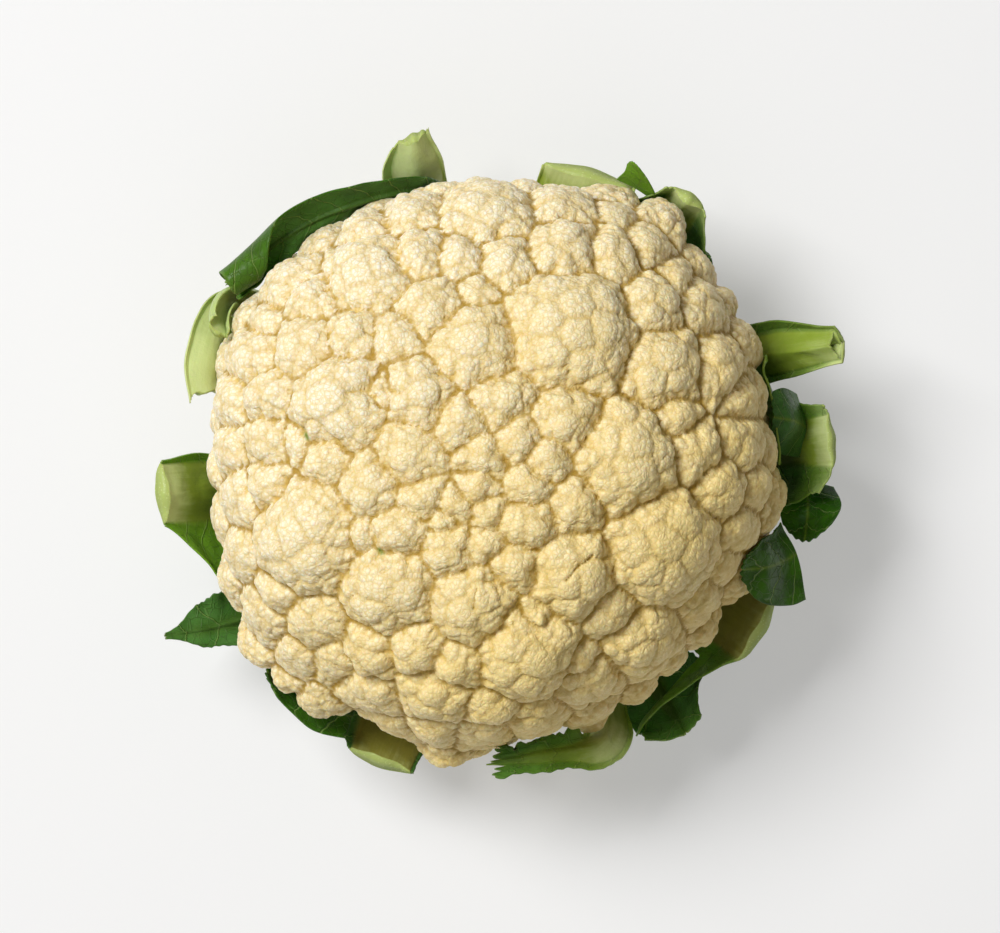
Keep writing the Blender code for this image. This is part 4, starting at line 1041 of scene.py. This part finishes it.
class CAULIFLOWER_OT_curd(bpy.types.Operator):
    """Grow the curd: packed florets, the lobes on them and the granules on those"""
    bl_idname = "cauliflower.curd"
    bl_label = "Grow the curd"

    def execute(self, context):
        settings = context.scene.cauliflower_curd
        draw = random.Random(SEED)
        ways, faces = ball_pattern(settings.fineness)
        outer = whole_shape(ways)
        laid_out = whole_shape(ways, SITE_INSET)
        bent = laid_out + 1.1 * wobble(laid_out / 7.0) + 0.5 * wobble(laid_out / 2.6)
        sites, sizes, tops = floret_sites(laid_out, draw)
        labels, shares, heights = shared_out(bent, sites, sizes, tops)
        low = numpy.clip((LOWEST_WAY + 0.08 - ways[:, 2]) / 0.16, 0, 1)
        heights -= TAKEN_IN * low * low * (3 - 2 * low)
        heights += RIM_FULLNESS * (1 - numpy.clip(numpy.abs(ways[:, 2]), 0, 1) ** 1.5)
        curd = new_object("curd_florets", mesh_from_arrays("curd_florets", outer * MM, faces),
                          curd_finish(settings))
        away = outer - numpy.array((0, 0, WIDEST_LEVEL - 22))
        away /= numpy.linalg.norm(away, axis=1, keepdims=True)
        domed = (outer + away * heights[:, None]) * MM
        curd.data.vertices.foreach_set("co", domed.astype(numpy.float32).ravel())
        curd.data.update()
        fuse(curd, settings.step)
        self.add_detail(curd, settings, domed, sizes[labels], labels, shares)
        stand_for(curd, "curd")
        return {"FINISHED"}

    def add_detail(self, curd, settings, domed, sizes, labels, shares):
        """Raises the lobes and granules, and stores how deep in a crease every corner lies."""
        mesh = curd.data
        corners, edges, normals = mesh_arrays(mesh)
        corners = smoothed(corners, edges, 1)
        came_from = nearest(corners, domed)
        sizes, labels, shares = sizes[came_from], labels[came_from], shares[came_from]
        inside = (1 - shares) * sizes     # distance from the floret's crease, in mm
        kept = numpy.clip(inside / 1.1, 0, 1)
        kept = kept * kept * (3 - 2 * kept)
        large = numpy.clip((sizes - 4) / 6, 0.2, 1)
        bent = corners + 0.0006 * wobble(corners / 0.004)
        clump, clump_mark = lobe_shares(bent, labels, settings.clump_spacing, SEED)
        lobe, lobe_mark = lobe_shares(bent, labels, settings.lobe_spacing, SEED + 1000)
        outer = numpy.clip((shares - 0.25) / 0.6, 0, 1)
        soft = smoothed(normals, edges, 4)
        soft /= numpy.linalg.norm(soft, axis=1, keepdims=True)
        rise = (dome(clump) - 0.85) * settings.clump_height * (0.6 + 0.4 * clump_mark) * large * kept
        rise += (dome(lobe) - 0.80) * settings.lobe_height * (0.2 + 0.8 * outer) * (0.6 + 0.4 * lobe_mark) * kept
        slit = near_lines(bent, SLITS, SLIT_WIDTH)
        rise -= slit * SLIT_DEPTH * MM
        corners = corners + soft * rise[:, None]
        mesh.vertices.foreach_set("co", corners.astype(numpy.float32).ravel())
        mesh.update()
        corners, edges, normals = mesh_arrays(mesh)
        seeds = corners[scattered(corners, settings.granule_spacing, SEED)]
        bent = corners + 0.0002 * wobble(corners / 0.0012)
        first, second, which = two_nearest(bent, seeds)
        granule = 2 * first / (first + second)
        size = numpy.random.default_rng(SEED).uniform(0.5, 1.0, len(seeds))[which]
        soft = smoothed(normals, edges, 1)
        soft /= numpy.linalg.norm(soft, axis=1, keepdims=True)
        corners += soft * ((dome(granule) - 0.7) * size * settings.granule_height)[:, None]
        mesh.vertices.foreach_set("co", corners.astype(numpy.float32).ravel())
        mesh.update()
        # Masks for the painted shade in the curd's colour: how hollow each corner lies, and how deep it lies in the
        # crease of a floret, a slit, a lobe or a granule. speck marks the bits of leaf.
        hollow = ((smoothed(corners, edges, 16) - corners) * normals).sum(axis=1)
        set_attribute(mesh, "hollow", numpy.clip(hollow / 0.00075, -1, 1))
        set_attribute(mesh, "crease_floret", numpy.maximum(numpy.clip(1 - inside / 1.0, 0, 1), 0.8 * slit))
        set_attribute(mesh, "speck", near_lines(corners, SPECKS, 0.6))
        set_attribute(mesh, "crease_lobe", numpy.clip((numpy.maximum(lobe * outer, clump) - 0.72) / 0.28, 0, 1))
        set_attribute(mesh, "crease_granule", numpy.clip((granule - 0.62) / 0.38, 0, 1))


class CAULIFLOWER_OT_stalk(bpy.types.Operator):
    """Turn the cut stalk and grow its branches"""
    bl_idname = "cauliflower.stalk"
    bl_label = "Grow the stalk"

    def execute(self, context):
        settings = context.scene.cauliflower_stalk
        bm = bmesh.new()
        corners = [bm.verts.new(Vector((distance, 0, height)) * MM) for distance, height in TRUNK_PROFILE]
        for first, second in zip(corners, corners[1:]):
            bm.edges.new((first, second))
        bmesh.ops.spin(bm, geom=bm.verts[:] + bm.edges[:], cent=(0, 0, 0), axis=(0, 0, 1), steps=64,
                       angle=math.tau, use_merge=True, use_duplicate=False)
        bmesh.ops.remove_doubles(bm, verts=bm.verts, dist=1e-6)
        for n in range(BRANCHES):
            azimuth = n * 360.0 / BRANCHES + FIRST_BRANCH
            start = around(BRANCH_FROM[0], azimuth, BRANCH_FROM[1])
            end = around(BRANCH_TO[0], azimuth, BRANCH_TO[1])
            turn = (end - start).to_track_quat("Z", "Y").to_matrix().to_4x4()
            bmesh.ops.create_cone(bm, cap_ends=True, segments=32, depth=(end - start).length * MM,
                                  radius1=BRANCH_RADII[0] * MM, radius2=BRANCH_RADII[1] * MM,
                                  matrix=Matrix.Translation((start + end) / 2 * MM) @ turn)
        bmesh.ops.recalc_face_normals(bm, faces=bm.faces)
        mesh = bpy.data.meshes.new("stalk_flesh")
        bm.to_mesh(mesh)
        bm.free()
        stalk = new_object("stalk_flesh", mesh, stalk_finish(settings))
        fuse(stalk, settings.step)
        corners, edges, _ = mesh_arrays(stalk.data)
        rounded = smoothed(corners, edges, 6)
        rounded[:, 2] = numpy.where(corners[:, 2] < 0.0015, corners[:, 2], rounded[:, 2])
        rounded[:, 2] = numpy.maximum(rounded[:, 2], 0.0)
        stalk.data.vertices.foreach_set("co", rounded.astype(numpy.float32).ravel())
        stalk.data.update()
        stand_for(stalk, "stalk")
        return {"FINISHED"}


class CAULIFLOWER_OT_leaves(bpy.types.Operator):
    """Grow the cut leaves round the curd"""
    bl_idname = "cauliflower.leaves"
    bl_label = "Grow the leaves"

    def execute(self, context):
        settings = context.scene.cauliflower_leaves
        finishes = (leaf_finish("leaf_face", settings, True), leaf_finish("leaf_back", settings, False))
        curd = bpy.data.objects.get("curd_florets")
        if curd is None:
            raise RuntimeError("the curd has to be grown before its leaves")
        skin = CurdSkin(curd)
        for name in LEAVES:
            grow_leaf(name, settings, skin, finishes)
        return {"FINISHED"}


class CAULIFLOWER_OT_stage(bpy.types.Operator):
    """Set the pale floor, the lights and the camera that looks straight down"""
    bl_idname = "cauliflower.stage"
    bl_label = "Set the stage"

    def execute(self, context):
        settings = context.scene.cauliflower_stage
        scene = context.scene
        scene.view_settings.view_transform = "Standard"
        level = WIDEST_LEVEL * MM
        recipe = Recipe("pale_floor")
        place = recipe.add("ShaderNodeTexCoord").outputs["Object"]
        tone = recipe.blend(recipe.noise(place, 3.0), colour(settings.floor),
                            tuple(value * 0.985 for value in colour(settings.floor)))
        recipe.set(Base_Color=tone, Roughness=0.9, Emission_Color=(1, 1, 1, 1),
                   Emission_Strength=settings.floor_glow)
        bm = bmesh.new()
        bmesh.ops.create_grid(bm, x_segments=8, y_segments=8, size=2.0)
        mesh = bpy.data.meshes.new("floor")
        bm.to_mesh(mesh)
        bm.free()
        floor = new_object("floor", mesh, recipe.material)
        world = scene.world or bpy.data.worlds.new("sky")
        scene.world = world
        world.use_nodes = True
        sky = world.node_tree.nodes["Background"]
        sky.inputs["Color"].default_value = (1.0, 0.95, 0.87, 1.0)
        sky.inputs["Strength"].default_value = settings.sky
        for name, spot, size, power in (
                ("key_light", (-1.2, 0.85, 2.2), 1.1, settings.key_power),
                ("fill_light", (0.0, -0.9, 1.4), 1.4, settings.fill_power)):
            light = bpy.data.lights.new(name, "AREA")
            light.energy = power
            light.size = size
            lamp = bpy.data.objects.new(name, light)
            lamp.location = spot
            lamp.rotation_euler = (Vector((0, 0, level)) - lamp.location).to_track_quat("-Z", "Y").to_euler()
            scene.collection.objects.link(lamp)
        camera = bpy.data.cameras.new("camera")
        camera.sensor_width = 36.0
        camera.lens = camera.sensor_width * settings.camera_height / (FRAME_WIDTH * MM)
        camera.clip_end = 20.0
        eye = bpy.data.objects.new("camera", camera)
        eye.location = (VIEW_CENTRE[0] * MM, VIEW_CENTRE[1] * MM, level + settings.camera_height)
        scene.collection.objects.link(eye)
        scene.camera = eye
        return {"FINISHED"}


class CAULIFLOWER_PT_panel(bpy.types.Panel):
    """Lists the cauliflower's operators and settings"""
    bl_label = "Cauliflower"
    bl_idname = "CAULIFLOWER_PT_panel"
    bl_space_type = "VIEW_3D"
    bl_region_type = "UI"
    bl_category = "Cauliflower"

    def draw(self, context):
        for made, group in zip(OPERATORS, SETTINGS):
            box = self.layout.box()
            box.operator(made.bl_idname)
            for name in group.__annotations__:
                box.prop(getattr(context.scene, SETTINGS[group]), name)


SETTINGS = {
    CurdSettings: "cauliflower_curd", StalkSettings: "cauliflower_stalk",
    LeafSettings: "cauliflower_leaves", StageSettings: "cauliflower_stage",
}
OPERATORS = (CAULIFLOWER_OT_curd, CAULIFLOWER_OT_stalk, CAULIFLOWER_OT_leaves, CAULIFLOWER_OT_stage)


def register():
    for made in (*SETTINGS, *OPERATORS, CAULIFLOWER_PT_panel):
        bpy.utils.register_class(made)
    for group, name in SETTINGS.items():
        setattr(bpy.types.Scene, name, PointerProperty(type=group))


def unregister():
    for name in SETTINGS.values():
        delattr(bpy.types.Scene, name)
    for made in reversed((*SETTINGS, *OPERATORS, CAULIFLOWER_PT_panel)):
        bpy.utils.unregister_class(made)


def main():
    register()
    bpy.ops.cauliflower.curd()
    bpy.ops.cauliflower.stalk()
    bpy.ops.cauliflower.leaves()
    bpy.ops.cauliflower.stage()
    bpy.context.view_layer.update()


if __name__ == "__main__":
    main()
